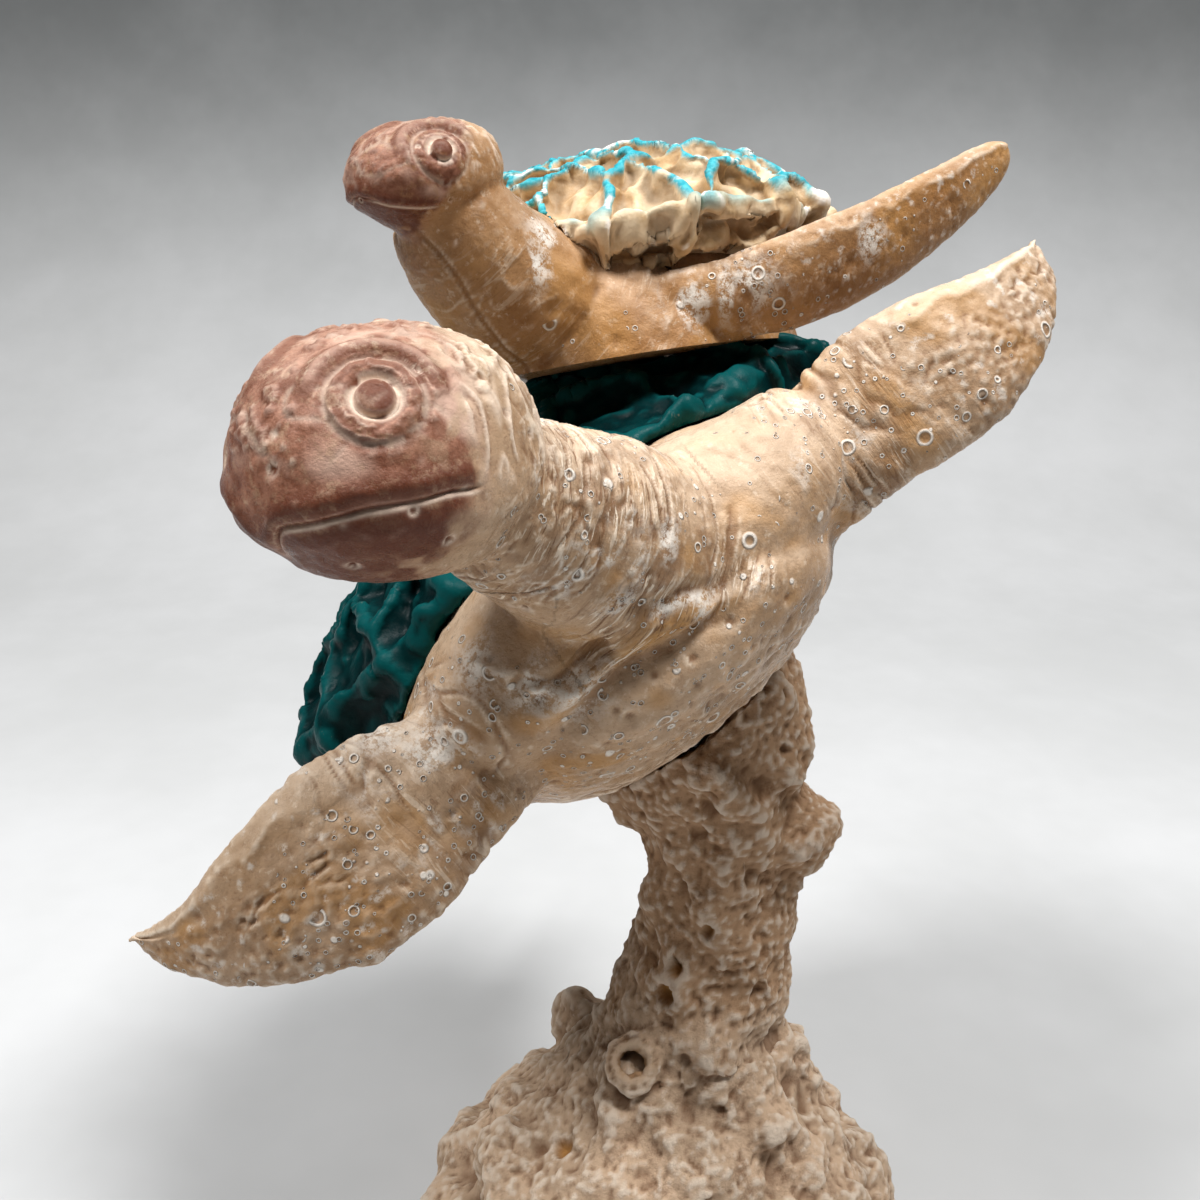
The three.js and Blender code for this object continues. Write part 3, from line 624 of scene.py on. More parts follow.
def bone_resin(name, pale, deep, top_light):
    """Tan cast resin with brown wash and painted shade in the hollows, chalky filler, a painted face, burst
    bubbles, and upper sides painted paler as a painted highlight.
    """
    paint = Paint(name)
    fine = paint.noise(1.1, 6, 0.7)
    colour = paint.mix(paint.ramp(paint.noise(13, 4), 0.36, 0.66), pale, deep)
    colour = paint.coat(colour, WASH_AND_SHADE, paint.ramp(paint.noise(3.6, 6, 0.72), 0.5, 0.76), 0.5)
    colour = paint.coat(colour, WASH_AND_SHADE, paint.ramp(paint.noise(0.9, 5, 0.7), 0.46, 0.3, 0.0, 0.4))
    colour = paint.coat(colour, PALE_CREST, paint.ramp(paint.noise(1.5, 5, 0.7), 0.56, 0.7, 0.0, 0.45))
    colour = paint.coats(colour, [(PALE_CREST, "crest", 1.0), (OCHRE, "ochre", 1.0)])
    # Painted highlight: upper sides are paler through the top mask; painted shade and brown wash darken the
    # hollows.
    colour = paint.coats(colour, [(PALE_CREST, "lit_top", top_light), (WASH_AND_SHADE, "wash_and_shade", 0.8)])
    wrinkled = paint.mask("wrinkled")
    threads = paint.noise(0.9, 4, 0.6, paint.rings(5), warp=0.8)
    colour = paint.coat(colour, WASH_AND_SHADE, wrinkled, paint.ramp(threads, 0.46, 0.35, 0, 0.85))
    colour = paint.coat(colour, PALE_CREST, wrinkled, paint.ramp(threads, 0.57, 0.64))
    brown = paint.mix(paint.ramp(fine, 0.38, 0.66), MAUVE, MAUVE_PALE)
    # Face paint: upper sides paler as a painted highlight, then the darkest mask, which holds dark paint
    # and painted shade.
    brown = paint.coats(brown, [(FLESH, "lit_top", 0.25), (FLESH, "blush", 0.7), (UMBER, "dark_paint_and_shade", 1.0)])
    brown = paint.coats(brown, [(UMBER, "wash_and_shade", 0.7), (FLESH, "crest", 0.5)])
    mottle = paint.ramp(paint.noise(2.0, 6, 0.75), 0.68, 0.5, 0.5, 1.0)
    cover = paint.math("MAXIMUM", mottle, paint.mask("dark_paint_and_shade"))
    colour = paint.coat(colour, brown, paint.mask("face"), cover)
    colour = paint.coat(colour, PALE_LINE, paint.mask("line"))
    streak = paint.ramp(paint.noise(1.3, 6, 0.8), 0.42, 0.55)
    colour = paint.coat(colour, CHALK, paint.mask("chalk"), streak)
    where = paint.mask("bubbly")
    rims, hollow = bubbles(paint, 3.7, paint.math("MULTIPLY", where, 0.3))
    for pitch, share in ((2.3, 0.4), (1.3, 0.55)):
        rim, pit = bubbles(paint, pitch, paint.math("MULTIPLY", where, share))
        rims = paint.math("MAXIMUM", rims, rim)
        hollow = paint.math("MAXIMUM", hollow, pit)
    colour = paint.coat(colour, CHALK, rims, 0.85)
    colour = paint.coat(colour, WASH_AND_SHADE, hollow, 0.3)
    normal = paint.bump(fine, 0.25)
    normal = paint.bump(paint.math("MULTIPLY", threads, wrinkled), 0.5, normal)
    normal = paint.bump(paint.math("SUBTRACT", rims, hollow), 0.2, normal)
    return paint.finish(colour, paint.ramp(fine, 0.3, 0.7, 0.2, 0.42), normal)


def teal_shell():
    """Dark teal paint, darker in the hollows as painted shade, lighter where the knobs are rubbed."""
    paint = Paint("teal_shell")
    fine = paint.noise(1.2, 5, 0.7)
    colour = paint.mix(paint.ramp(paint.noise(7, 4), 0.38, 0.66), TEAL, TEAL_DEEP)
    colour = paint.coats(colour, [(TEAL_DEEP, "wash_and_shade", 1.0), (TEAL_RUBBED, "crest", 1.0)])
    chips = paint.math("MULTIPLY", paint.mask("crest"), paint.ramp(paint.noise(2.0, 6, 0.8), 0.63, 0.68))
    colour = paint.coat(colour, CREAM, chips, 0.15)
    sheen = paint.ramp(fine, 0.3, 0.7, 0.28, 0.45)
    return paint.finish(colour, sheen, paint.bump(fine, 0.12), gloss=0.07)


def net_shell():
    """Cream resin cells under a net of turquoise ridges, chipped to white, with brown wash and painted
    shade in the cells.
    """
    paint = Paint("net_shell")
    fine = paint.noise(1.1, 5, 0.7)
    colour = paint.mix(paint.ramp(paint.noise(6, 4), 0.36, 0.66), CREAM, CREAM_DEEP)
    blue = paint.mix(paint.ramp(fine, 0.35, 0.7), TURQUOISE, TURQUOISE_PALE)
    colour = paint.coats(colour, [(WASH_AND_SHADE, "wash_and_shade", 0.85), (blue, "net", 1.0), (CHALK, "chalk", 1.0)])
    return paint.finish(colour, paint.ramp(fine, 0.3, 0.7, 0.3, 0.48), paint.bump(fine, 0.18))


def coral_resin():
    """Rough beige coral, browner up the pillar, with brown in its pores, painted shade in its hollows and
    sand on its crests.
    """
    paint = Paint("coral_resin")
    fine = paint.noise(0.8, 6, 0.78)
    colour = paint.mix(paint.ramp(paint.noise(12, 4), 0.38, 0.64), CORAL, CORAL_GREY)
    colour = paint.coat(colour, CORAL_TAN, paint.mask("brown"), 0.7)
    colour = paint.coat(colour, CORAL_BROWN, paint.ramp(paint.noise(6.5, 6, 0.72), 0.5, 0.7), 0.65)
    colour = paint.coat(colour, SAND, paint.mask("crest"))
    colour = paint.coat(colour, CORAL_BROWN, paint.ramp(paint.noise(1.1, 6, 0.8), 0.56, 0.68), 0.35)
    colour = paint.coats(colour, [(CORAL_BROWN, "wash_and_shade", 0.85), (OCHRE, "ochre", 1.0)])
    return paint.finish(colour, 0.82, paint.bump(fine, 0.7))


def drawn_steel():
    paint = Paint("drawn_steel")
    streak = paint.noise(0.8, 3)
    paint.shader.inputs["Metallic"].default_value = 1.0
    colour = paint.mix(streak, STEEL_DULL, STEEL_BRIGHT)
    return paint.finish(colour, paint.ramp(streak, 0.3, 0.7, 0.3, 0.45))


def grey_felt():
    paint = Paint("grey_felt")
    fibre = paint.noise(0.5, 6, 0.8)
    colour = paint.mix(fibre, FIBRE_DARK, FIBRE_PALE)
    return paint.finish(colour, 0.95, paint.bump(fibre, 0.4))


# Carving the skin

def skin_grain(points):
    """Slow unevenness and fine grain that every skin piece has."""
    return 0.30 * grain(points, 9) + 0.14 * grain(points, 3.2, 7.7) + 0.08 * grain(points, 1.4, 3.1)


def weathered_with_painted_light(casting, strength=1.0):
    """Brown wash left in whatever is hollow, fine and broad, which also paints the shade there; pale rubbed
    crests; and upper sides painted paler, a painted highlight from the light above.
    """
    fine = casting.hollows(3)
    # Painted shade: fine and broad hollows are darkened, partly as a real brown wash.
    casting.paint("wash_and_shade", strength * 0.85 * ramp(fine, 0.010, 0.065))
    casting.paint("wash_and_shade", strength * 0.7 * ramp(casting.hollows(24), 0.03, 0.3))
    casting.paint("crest", strength * 0.7 * ramp(-fine, 0.012, 0.07))
    # Painted highlight: the more a surface faces up, the paler it is painted, as if lit from above.
    casting.paint("lit_top", ramp(casting.normals[:, 2], 0.25, 0.95))


def smears(points, places, space):
    """Streaks of white filler around its places, drawn out along a noise space."""
    near = np.zeros(len(points))
    for centre, spread in places:
        near = np.maximum(near, bell(far_from(points, centre), 0, spread))
    return near * ramp(grain(space, 1.0, 3.7) + 0.6 * near, 0.1, 0.3)


# Radii of an eye's rings, in eye sizes
EYE_BALL, EYE_GROOVE, EYE_LID, EYE_SOCKET, EYE_OUTER_GROOVE, EYE_BROW = 3.9, 4.5, 6.9, 8, 9.4, 12.4
EYE_PALE_LINE, EYE_OUTER_LINE = 4.6, 9.3


def eye_rings(points, face):
    """Depth, pale line and dark ball of both eyes: a ball in a groove, a round lid, a groove and a brow."""
    depth, line, ball = np.zeros((3, len(points)))
    size = face["eye_size"]
    for side in (1, -1):
        flip = np.array([1, side, 1])
        out = unit(face["gaze"]) * flip
        away = points - np.array(face["eye"]) * flip
        along = away @ out
        in_plane = away - along[:, None] * out
        radius = lengths(in_plane) / size
        above = ramp(in_plane[:, 2] / np.maximum(lengths(in_plane), 0.1), 0.0, 0.5)
        near = ramp(np.abs(along) / size, 11, 8)
        sink = 1.1 * np.clip(1 - (radius / EYE_SOCKET) ** 2, 0, 1)
        dome = np.sqrt(np.clip(1 - (radius / EYE_BALL) ** 2, 0, 1))
        lid = bell(radius, EYE_LID, 1.6) * (0.75 + 0.5 * grain(points, 1.6 * size, 8.1))
        grooves = bell(radius, EYE_GROOVE, 0.6) + (0.5 + 0.5 * above) * bell(radius, EYE_OUTER_GROOVE, 1.0)
        brow = above * bell(radius, EYE_BROW, 1.9)
        depth += near * size * (0.9 * dome + 0.7 * lid - grooves - sink + 1.5 * brow)
        broken = patches(points, 2.5 * size, 4.9, -0.45, -0.1)
        rings = np.maximum(bell(radius, EYE_PALE_LINE, 0.8), 0.4 * bell(radius, EYE_OUTER_LINE, 0.8))
        line = np.maximum(line, near * broken * rings)
        ball = np.maximum(ball, near * ramp(radius, EYE_BALL, EYE_BALL - 0.6))
    return depth, line, ball


def over_lip(points, face):
    """Height over the mouth line, which slopes to the corners and dips under the beak, in mouth sizes."""
    lip = face["lip"]
    across = np.abs(points[:, 1])
    line = lip["middle"] + lip["slope"] * across - lip["beak"] * bell(across, 0.3, lip["beak_half"])
    return (points[:, 2] - line) / face["mouth_size"]


def past_paint_edge(points, face):
    """How far in front of the edge of the brown paint a point lies."""
    x, y, z = points.T
    brown = face["brown"]
    height = brown["rise"] * np.maximum(z, 0) + brown["drop"] * np.clip(z, brown["lowest"], 0)
    return x + height - brown["side"] * np.abs(y) - brown["from"]


def carve_face(skin, face):
    """Eyes, mouth and a crusty brow, and the brown paint with its pale lines, painted shade under the upper
    lip, on the jaw and on the lids, and a painted highlight on the lower lip.
    """
    points = skin.seen_from(face["frame"])
    there = np.flatnonzero(lengths(points) < face["reach"])
    points = points[there]
    x, y, z = points.T
    size = face["mouth_size"]
    on_head = ramp(lengths(points), face["reach"], 0.87 * face["reach"])
    soft = face["brown"]["soft"]
    start = past_paint_edge(points, face)
    start += 0.6 * soft * (grain(points, 5 * size) + 0.6 * grain(points, 1.8 * size, 2.2))
    flaked = bell(start, 0.5 * soft, 1.3 * soft) * patches(points, 2.6 * size, 8.5, 0.1, 0.4)
    masked = on_head * ramp(start, -soft, soft) * (1 - 0.7 * flaked)
    eye_depth, eye_line, ball = eye_rings(points, face)
    clear_of_eyes = np.clip(1 - 3 * np.abs(eye_depth) / face["eye_size"], 0, 1)
    over = over_lip(points, face) + 0.3 * grain(points, 3.5 * size, 6.3)
    mouth = on_head * ramp(x, face["corner"] - 1.5 * size, face["corner"] + 1.5 * size)
    cut_lip = 0.5 * bell(over, 1.5, 1.2) - 0.4 * bell(over, -0.1, 0.24) + 0.15 * bell(over, -2.2, 1.2)
    brow = on_head * ramp(z + 0.3 * x, face["brow"] - 2 * size, face["brow"] + 2 * size) * clear_of_eyes
    crust = ramp(grain(points, 4.0 * size, 5.1) + 0.8 * grain(points, 1.2 * size, 3.3), 0.15, 0.5)
    plates = creases(points / face["scale"], 0.10)
    crinkles = torn_folds(points * np.array((1, 0.6, 0.4)) / (2.4 * size), 2.8)
    temple = on_head * clear_of_eyes * ramp(start, 5 * size, 0) * ramp(z, -2 * size, 3 * size)
    holes = on_head * clear_of_eyes * pits(points, 4.5 * size, 0.2, 6.1, width=0.12)
    depth = on_head * eye_depth + size * mouth * cut_lip - 0.5 * size * holes
    depth += size * (brow * (0.35 * crust - 0.15 * plates) + 0.28 * temple * (crinkles - 0.3))
    depth += 0.12 * size * on_head * clear_of_eyes * grain(points, 1.6 * size, 7.4)
    skin.push(depth, there)
    # Painted shade, partly brown paint: the jaw below the mouth line and a band along the upper lip are
    # darkened.
    jaw = masked * ramp(over, -0.2, -1.4)
    lip_shade = np.maximum(mouth * bell(over, 1.7, 1.7), jaw)
    blotch = ramp(grain(points, 6 * size, 4.0) + 0.5 * grain(points, 2 * size, 9.0), 0.0, 0.6)
    skin.paint("face", np.maximum(masked, 0.8 * mouth * bell(over, 1.0, 1.4)), there)
    # Painted shade on the lids, beside the dark paint of the eyeballs.
    lid = ramp(np.abs(eye_depth), 0, 0.2 * face["eye_size"])
    on_eye = on_head * np.maximum(0.8 * ball, 0.55 * lid)
    for dark in (0.95 * lip_shade, on_eye, 0.6 * blotch, 0.7 * brow * crust):
        skin.paint("dark_paint_and_shade", dark, there)
    blush = on_head * patches(points, 7 * size, 6.5, 0.0, 0.45) * (1 - lip_shade) * (1 - lid)
    skin.paint("blush", blush, there)
    # Painted highlight: a pale line along the lower lip's edge, where it catches the light.
    mouth_highlight = mouth * bell(over, -0.5, 0.24) * ramp(np.abs(y), 1.5 * size, 5 * size)
    rims = on_head * bell(holes, 0.3, 0.16)
    on_crest = np.maximum(0.35 * brow * plates, 0.5 * temple * crinkles)
    for line in (0.9 * on_head * eye_line, 0.75 * mouth_highlight, on_crest, 0.7 * rims):
        skin.paint("line", line, there)


def out_on_limb(points, joint):
    """Distance out past a limb's joint, and 1 near the limb."""
    away = points - np.array(joint["at"])
    along = away @ unit(joint["aim"])
    spine = unit(np.array(joint["limb"]) - np.array(joint["at"]))
    off = lengths(away - (away @ spine)[:, None] * spine)
    return along, ramp(off, 1.35 * joint["reach"], 1.15 * joint["reach"])


def chord_share(points, along, lead):
    """Place across a blade: 0 at the trailing edge and 1 at the leading one, found slice by slice."""
    across = points @ unit(lead)
    step = np.floor(along)
    middles, low, high = [], [], []
    for start in np.unique(step):
        inside = across[step == start]
        middles.append(start + 0.5)
        low.append(inside.min())
        high.append(inside.max())
    low, high = np.interp(along, middles, low), np.interp(along, middles, high)
    return (across - low) / np.maximum(high - low, 0.5)


def swell_edges(skin, at, joint, lead, swell):
    """Moves a flipper's leading and trailing edges out or in, by amounts that change along it."""
    points = skin.seen_from(at)
    along, near = out_on_limb(points, joint)
    there = np.flatnonzero((near > 0) & (along > swell["lead"][0][0]))
    points, along, near = points[there], along[there], near[there]
    share = chord_share(points, along, lead)
    ahead, behind = (np.interp(along, *zip(*swell[edge])) for edge in ("lead", "trail"))
    outwards = near * (ahead * ramp(share, 0.35, 0.95) - behind * ramp(share, 0.65, 0.05))
    steps = np.zeros_like(skin.points)
    steps[there] = outwards[:, None] * (np.array(at.to_3x3()) @ unit(lead))
    skin.sway(steps)


def carve_flipper(skin, at, joint, size, lead, wear=1.0):
    """A smooth leading edge, a hammered and pitted blade, and ring creases about the root."""
    points = skin.seen_from(at)
    along, near = out_on_limb(points, joint)
    root_reach = 20 * size
    there = np.flatnonzero((near > 0) & (along > -root_reach))
    points, along, near = points[there], along[there], near[there]
    aim = unit(joint["aim"])
    share = chord_share(points, along, lead) + 0.08 * grain(points, 5 * size)
    blade = near * ramp(along, 2 * size, 14 * size)
    rough = wear * blade * ramp(share, 0.84, 0.6)
    root = near * bell(along, -2 * size, 0.55 * root_reach)
    rings = (points - aim * along[:, None]) / (7 * size) + aim * (along / (2.4 * size))[:, None]
    folds = cracked(rings, 0.17)
    hammered = 0.22 * grain(points, 3.2 * size, 2.0) + 0.26 * grain(points, 1.3 * size, 5.0)
    depth = size * (rough * hammered + wear * root * (0.25 * grain(rings, 1.0) - 0.5 * folds))
    depth += 0.45 * size * blade * bell(share, 0.88, 0.06)
    skin.push(depth, there)
    eaten = rough * patches(points, 7 * size, 3.9, -0.05, 0.3) * bell(share, 0.5, 0.22)
    holes = eaten * ramp(grain(points * np.array((1, 0.45, 1)), 1.1 * size, 8.0), 0.05, 0.4)
    skin.push(-0.42 * size * holes - 0.3 * size * blade * pits(points, 3.2 * size, 0.12, 1.0), there)
    # Painted shade and brown wash in the eaten holes.
    skin.paint("wash_and_shade", 0.6 * holes, there)
    skin.paint("wash_and_shade", 0.3 * rough, there)
    skin.paint("wash_and_shade", 0.45 * wear * root * patches(points, 4 * size, 7.1, 0.0, 0.45), there)
    skin.paint("chalk", 0.5 * blade * patches(points, 1.8 * size, 8.2, 0.35, 0.5), there)
    skin.measure("ring", along, there)
    skin.paint("wrinkled", 0.6 * wear * root * patches(points, 7 * size, 6.2, -0.4, 0.2), there)
    # Painted shade and brown wash in the ring creases about the root.
    skin.paint("wash_and_shade", 0.8 * root * folds, there)
    white = torn_folds(rings, 5.2) * patches(points, 6 * size, 1.9, 0.05, 0.3)
    skin.paint("chalk", 0.8 * root * white, there)
    skin.paint("bubbly", np.maximum(root, rough * patches(points, 8 * size, 4.4, -0.3, 0.3)), there)
    skin.paint("ochre", 0.25 * root * patches(points, 6 * size, 2.7, 0, 0.4), there)


def carve_large_skin(skin):
    """Ring folds on the neck and the breast plate's lip, then the flippers and the face."""
    points = skin.seen_from(LARGE)
    x, y, z = points.T
    towards = np.array(LARGE_NECK_ROOT) - np.array(LARGE_HEAD_AT)
    away = far_from(points, LARGE_HEAD_AT)
    front = ramp(x, 22, 36)
    lip = z + LIP_DEPTH + LIP_FALL * np.maximum(y - LIP_FALL_FROM, 0) + 0.7 * grain(points, 7, 3.6)
    lip_run = front * ramp(y, -25, -18) * ramp(y, 10, 2)
    belly = ramp(x, 5, 15) * ramp(z, -12, -18)
    plate = front * ramp(lip, 0, -2.5)
    between_flippers = ramp(np.abs(y), 40, 30)
    behind_face = ramp(past_paint_edge(skin.seen_from(LARGE_FACE["frame"]), LARGE_FACE), -3, -11)
    neck = front * behind_face * between_flippers * (1 - plate)
    for name in ("large_fore_flipper_left", "large_fore_flipper_right"):
        along, near = out_on_limb(points, LARGE_JOINTS[name])
        neck = neck * (1 - near * ramp(along, -25, -18))
    long_folds = ringed(points, LARGE_HEAD_AT, towards, along=2.7, across=12)
    short_folds = ringed(points, LARGE_HEAD_AT, towards, along=1.2, across=4)
    folds = cracked(long_folds)
    wrinkles = torn_folds(short_folds, 3.3)
    pimples = pits(points, 1.9, 0.3, 4.7)
    depth = skin_grain(points) * ramp(away, 16, 26)
    depth += neck * (0.15 * grain(long_folds, 1.0) - 0.35 * folds + 0.14 * wrinkles + 0.15 * pimples)
    depth += lip_run * (1.2 * bell(lip, 0.0, 1.2) - 0.35 * bell(lip, -2.6, 1.2) - 0.5 * bell(lip, 2.4, 0.9))
    depth += belly * (0.7 * grain(points, 4.5, 1.6) + 0.4 * grain(points, 1.9, 6.6))
    torn = bell(from_line(points, NECK_EDGE) + 0.8 * grain(points, 3.1, 5.5), 0, 1.1)
    depth += 0.9 * torn * patches(points, 2.6, 9.3, -0.4, 0.2)
    skin.push(depth)
    skin.push(-0.4 * pits(points, 3.0, 0.28, 8.8) * np.maximum(plate, 0.6 * neck))
    skin.measure("ring", away)
    for name, joint in LARGE_JOINTS.items():
        if "flipper" in name:
            lead = LARGE_FORE_LEAD if "fore" in name else HIND_LEAD
            if name in EDGE_SWELL:
                swell_edges(skin, LARGE, joint, lead, EDGE_SWELL[name])
            carve_flipper(skin, LARGE, joint, 1.0, lead)
    carve_face(skin, LARGE_FACE)
    weathered_with_painted_light(skin)
    skin.paint("ochre", 0.75 * lip_run * bell(lip, -0.2, 1.4) * patches(points, 8, 1.3, -0.9, -0.4))
    skin.paint("ochre", 0.5 * front * ramp(away, 20, 27) * patches(points, 7, 5.3, 0.1, 0.45))
    skin.paint("chalk", 0.9 * lip_run * bell(lip, 1.5, 0.5) * patches(points, 5, 7.9, -0.3, 0.1))
    skin.paint("chalk", 0.9 * smears(points, LARGE_FILLER, long_folds))
    skin.paint("chalk", 0.8 * neck * wrinkles * patches(points, 8, 2.9, 0.0, 0.3))
    skin.paint("chalk", torn * patches(points, 2.2, 2.6, -0.4, 0.0))
    # Painted shade and brown wash in the neck's fold creases.
    skin.paint("wash_and_shade", 0.85 * neck * folds)
    soiled = ramp(grain(points, 4.2, 7.1) + 0.5 * grain(points, 1.5, 1.4), 0.05, 0.5)
    skin.paint("wash_and_shade", 0.5 * neck * soiled)
    skin.paint("wrinkled", neck * patches(points, 10, 5.8, -0.5, 0.15))
    skin.paint("bubbly", np.maximum(plate, 0.8 * neck * patches(points, 11, 2.1, -0.3, 0.3)))


def carve_small_skin(skin):
    """A nearly smooth neck with a mould seam down the throat, then the flippers and the face."""
    points = skin.seen_from(SMALL)
    x, y, z = points.T
    skin.soften(ramp(far_from(points, SMALL_THROAT), 11, 5), 160)
    points = skin.seen_from(SMALL)
    on_front = ramp(skin.facing(SMALL)[:, 0], 0.15, 0.45)
    seam = bell(y + 3.2 * ramp(z, 12, 24), 0.3, 0.36) * on_front * ramp(z, 22, 19)
    towards = np.array(SMALL_NECK_ROOT) - np.array(SMALL_HEAD_AT)
    away = far_from(points, SMALL_HEAD_AT)
    folds = ringed(points, SMALL_HEAD_AT, towards, along=2.6, across=9)
    neck = ramp(away, 11, 15) * ramp(x, 12, 24)
    streaks = points * np.array((1, 0.8, 0.35)) / 2.6
    skin.push(0.75 * skin_grain(points) * ramp(away, 9, 15) + neck * 0.18 * grain(folds, 1.0) - 0.25 * seam)
    skin.push(0.12 * neck * torn_folds(folds) - 0.3 * pits(points, 4.6, 0.14, 2.0) * ramp(away, 12, 16))
    skin.measure("ring", away)
    for name, joint in SMALL_JOINTS.items():
        lead = SMALL_FORE_LEAD if "fore" in name else HIND_LEAD
        carve_flipper(skin, SMALL, joint, 0.55, lead, wear=0.4)
    carve_face(skin, SMALL_FACE)
    weathered_with_painted_light(skin, 0.7)
    # Painted shade and brown wash along the mould seam.
    skin.paint("wash_and_shade", 0.6 * seam)
    skin.paint("wrinkled", 0.3 * neck * patches(points, 8, 5.8, -0.2, 0.3))
    skin.paint("chalk", smears(points, SMALL_FILLER, streaks))
    skin.paint("ochre", 0.45 * patches(points, 10, 2.6, 0.0, 0.5) * ramp(away, 11, 15))
    skin.paint("bubbly", 0.15 * patches(points, 9, 7.2, 0.0, 0.3) * ramp(away, 12, 16))


# Carving the shells

def outward(casting, at, shell):
    """1 on a shell's outer side, 0 on its underside and in its hollow."""
    points, facing = casting.seen_from(at), casting.facing(at)
    reach = np.where(points[:, 0] > 0, shell["front"], shell["back"])
    out = points[:, :2] / np.stack([reach**2, np.full(len(points), shell["half"] ** 2)], 1)
    radial = (facing[:, :2] * out).sum(1) / np.maximum(lengths(out), 1e-6)
    return np.maximum(ramp(facing[:, 2], 0, 0.3), ramp(radial, 0.3, 0.6) * ramp(facing[:, 2], -0.95, -0.8))


def hanging_roots(points, outside):
    """Steps, in the small turtle's frame, that draw the shell's rim down and in as ragged roots."""
    reach = (3.2 + 2.2 * grain(points, 4.2, 7.7)) * outside
    reach *= ramp(points[:, 2], SMALL_SHELL["rim"] + 1, SMALL_SHELL["rim"] - 2.5)
    for name in ("small_fore_flipper_left", "small_fore_flipper_right"):
        reach *= ramp(far_from(points, SMALL_JOINTS[name]["at"]), 10, 15)
    inwards = -0.6 * points[:, :2] / np.maximum(lengths(points[:, :2]), 1)[:, None]
    return reach[:, None] * np.column_stack([inwards, np.full(len(points), -1.0)])


def carve_small_shell(casting):
    """Wandering ropes round deep cells. Down the sides they run on as roots with hollows between them."""
    points = casting.seen_from(SMALL)
    height = points[:, 2]
    outside = outward(casting, SMALL, SMALL_SHELL)
    casting.sway(hanging_roots(points, outside) @ np.array(SMALL.to_3x3()).T)
    casting.sway(1.4 * outside[:, None] * drift(points, 5.5))
    casting.sway(0.4 * outside[:, None] * drift(points, 2.2))
    sunk = casting.hollows(70)
    rope, cell = ramp(-sunk, 0.15, 0.6), ramp(sunk, -0.2, 0.4)
    side = ramp(height, SMALL_SHELL["rim"] + 3, SMALL_SHELL["rim"] - 1)
    knots = 0.7 + 0.9 * grain(points, 3.2, 4.4)
    casting.push(outside * (0.9 * rope * knots - (0.5 + 1.3 * side) * cell + 0.2 * grain(points, 2.2)))
    casting.push(-outside * cell * (0.4 * pits(points, 3.2, 0.25) + 0.2 * grain(points, 1.5, 5.0)))
    weathered_with_painted_light(casting, 0.6)
    # Painted shade and brown wash in the cells, more of it down the sides.
    casting.paint("wash_and_shade", (0.2 + 0.35 * side) * outside * cell * patches(points, 4.0, 3.3, -0.35, 0.25))
    high = ramp(height + 2.0 * grain(points, 4, 2.9), SMALL_SHELL["rim"], SMALL_SHELL["rim"] + 2.4)
    worn = patches(points, 2.6, 6.6, -0.7, -0.45)
    casting.paint("net", outside * high * worn * ramp(-sunk, 0.25, 0.5))
    casting.paint("chalk", outside * ramp(-sunk, 0.4, 0.8) * patches(points, 2.0, 12.1, 0.22, 0.32))


def carve_large_shell(casting):
    """Broad knobbly ropes round large cells."""
    points = casting.seen_from(LARGE)
    outside = outward(casting, LARGE, LARGE_SHELL)
    casting.sway(1.6 * outside[:, None] * drift(points, 8.5))
    casting.sway(0.5 * outside[:, None] * drift(points, 3.1))
    sunk = casting.hollows(90)
    rope, cell = ramp(-sunk, 0.1, 0.8), ramp(sunk, 0.1, 0.9)
    knots = 0.7 + 1.2 * grain(points, 5, 4.1)
    casting.push(outside * (0.8 * rope * knots - 0.5 * cell + 0.5 * grain(points, 3.4, 9.9)))
    under_rider = 5.0 * bell(far_from(points, RIDER_SEAT), 0, 8)
    pitted = 0.25 * grain(points, 1.7, 2.4) - 0.5 * cell * pits(points, 4.5, 0.3)
    casting.push(outside * (under_rider + pitted))
    # Painted shade: the shell's hollows are painted a deeper teal.
    casting.paint("wash_and_shade", ramp(casting.hollows(20), 0.05, 0.4))
    casting.paint("crest", 0.8 * ramp(-casting.hollows(8), 0.04, 0.22))


# Carving the coral

CORAL_BURROWS = [
    ((1.9, -1.6, 64.9), 2.0), ((0.1, -2.1, 59.1), 2.2), ((7.4, -3.3, 73.3), 1.7), ((-19, -8.5, 30.5), 2.4),
]
FOOT_TOP, MOUND_TOP = 2.5, 50  # heights of the mound's smooth foot and of its end at the pillar

# The tube sponge: its mouth, the way it points, its radii and how deep its hole is drilled and shows
SPONGE_MOUTH, SPONGE_AIM = (-5.6, -6.35, 47.6), (-2, -14, 13)
SPONGE_RADIUS, BORE_RADIUS = 6.5, 3.8
BORE_DRILLED, BORE_SHOWN = 14, 1.5


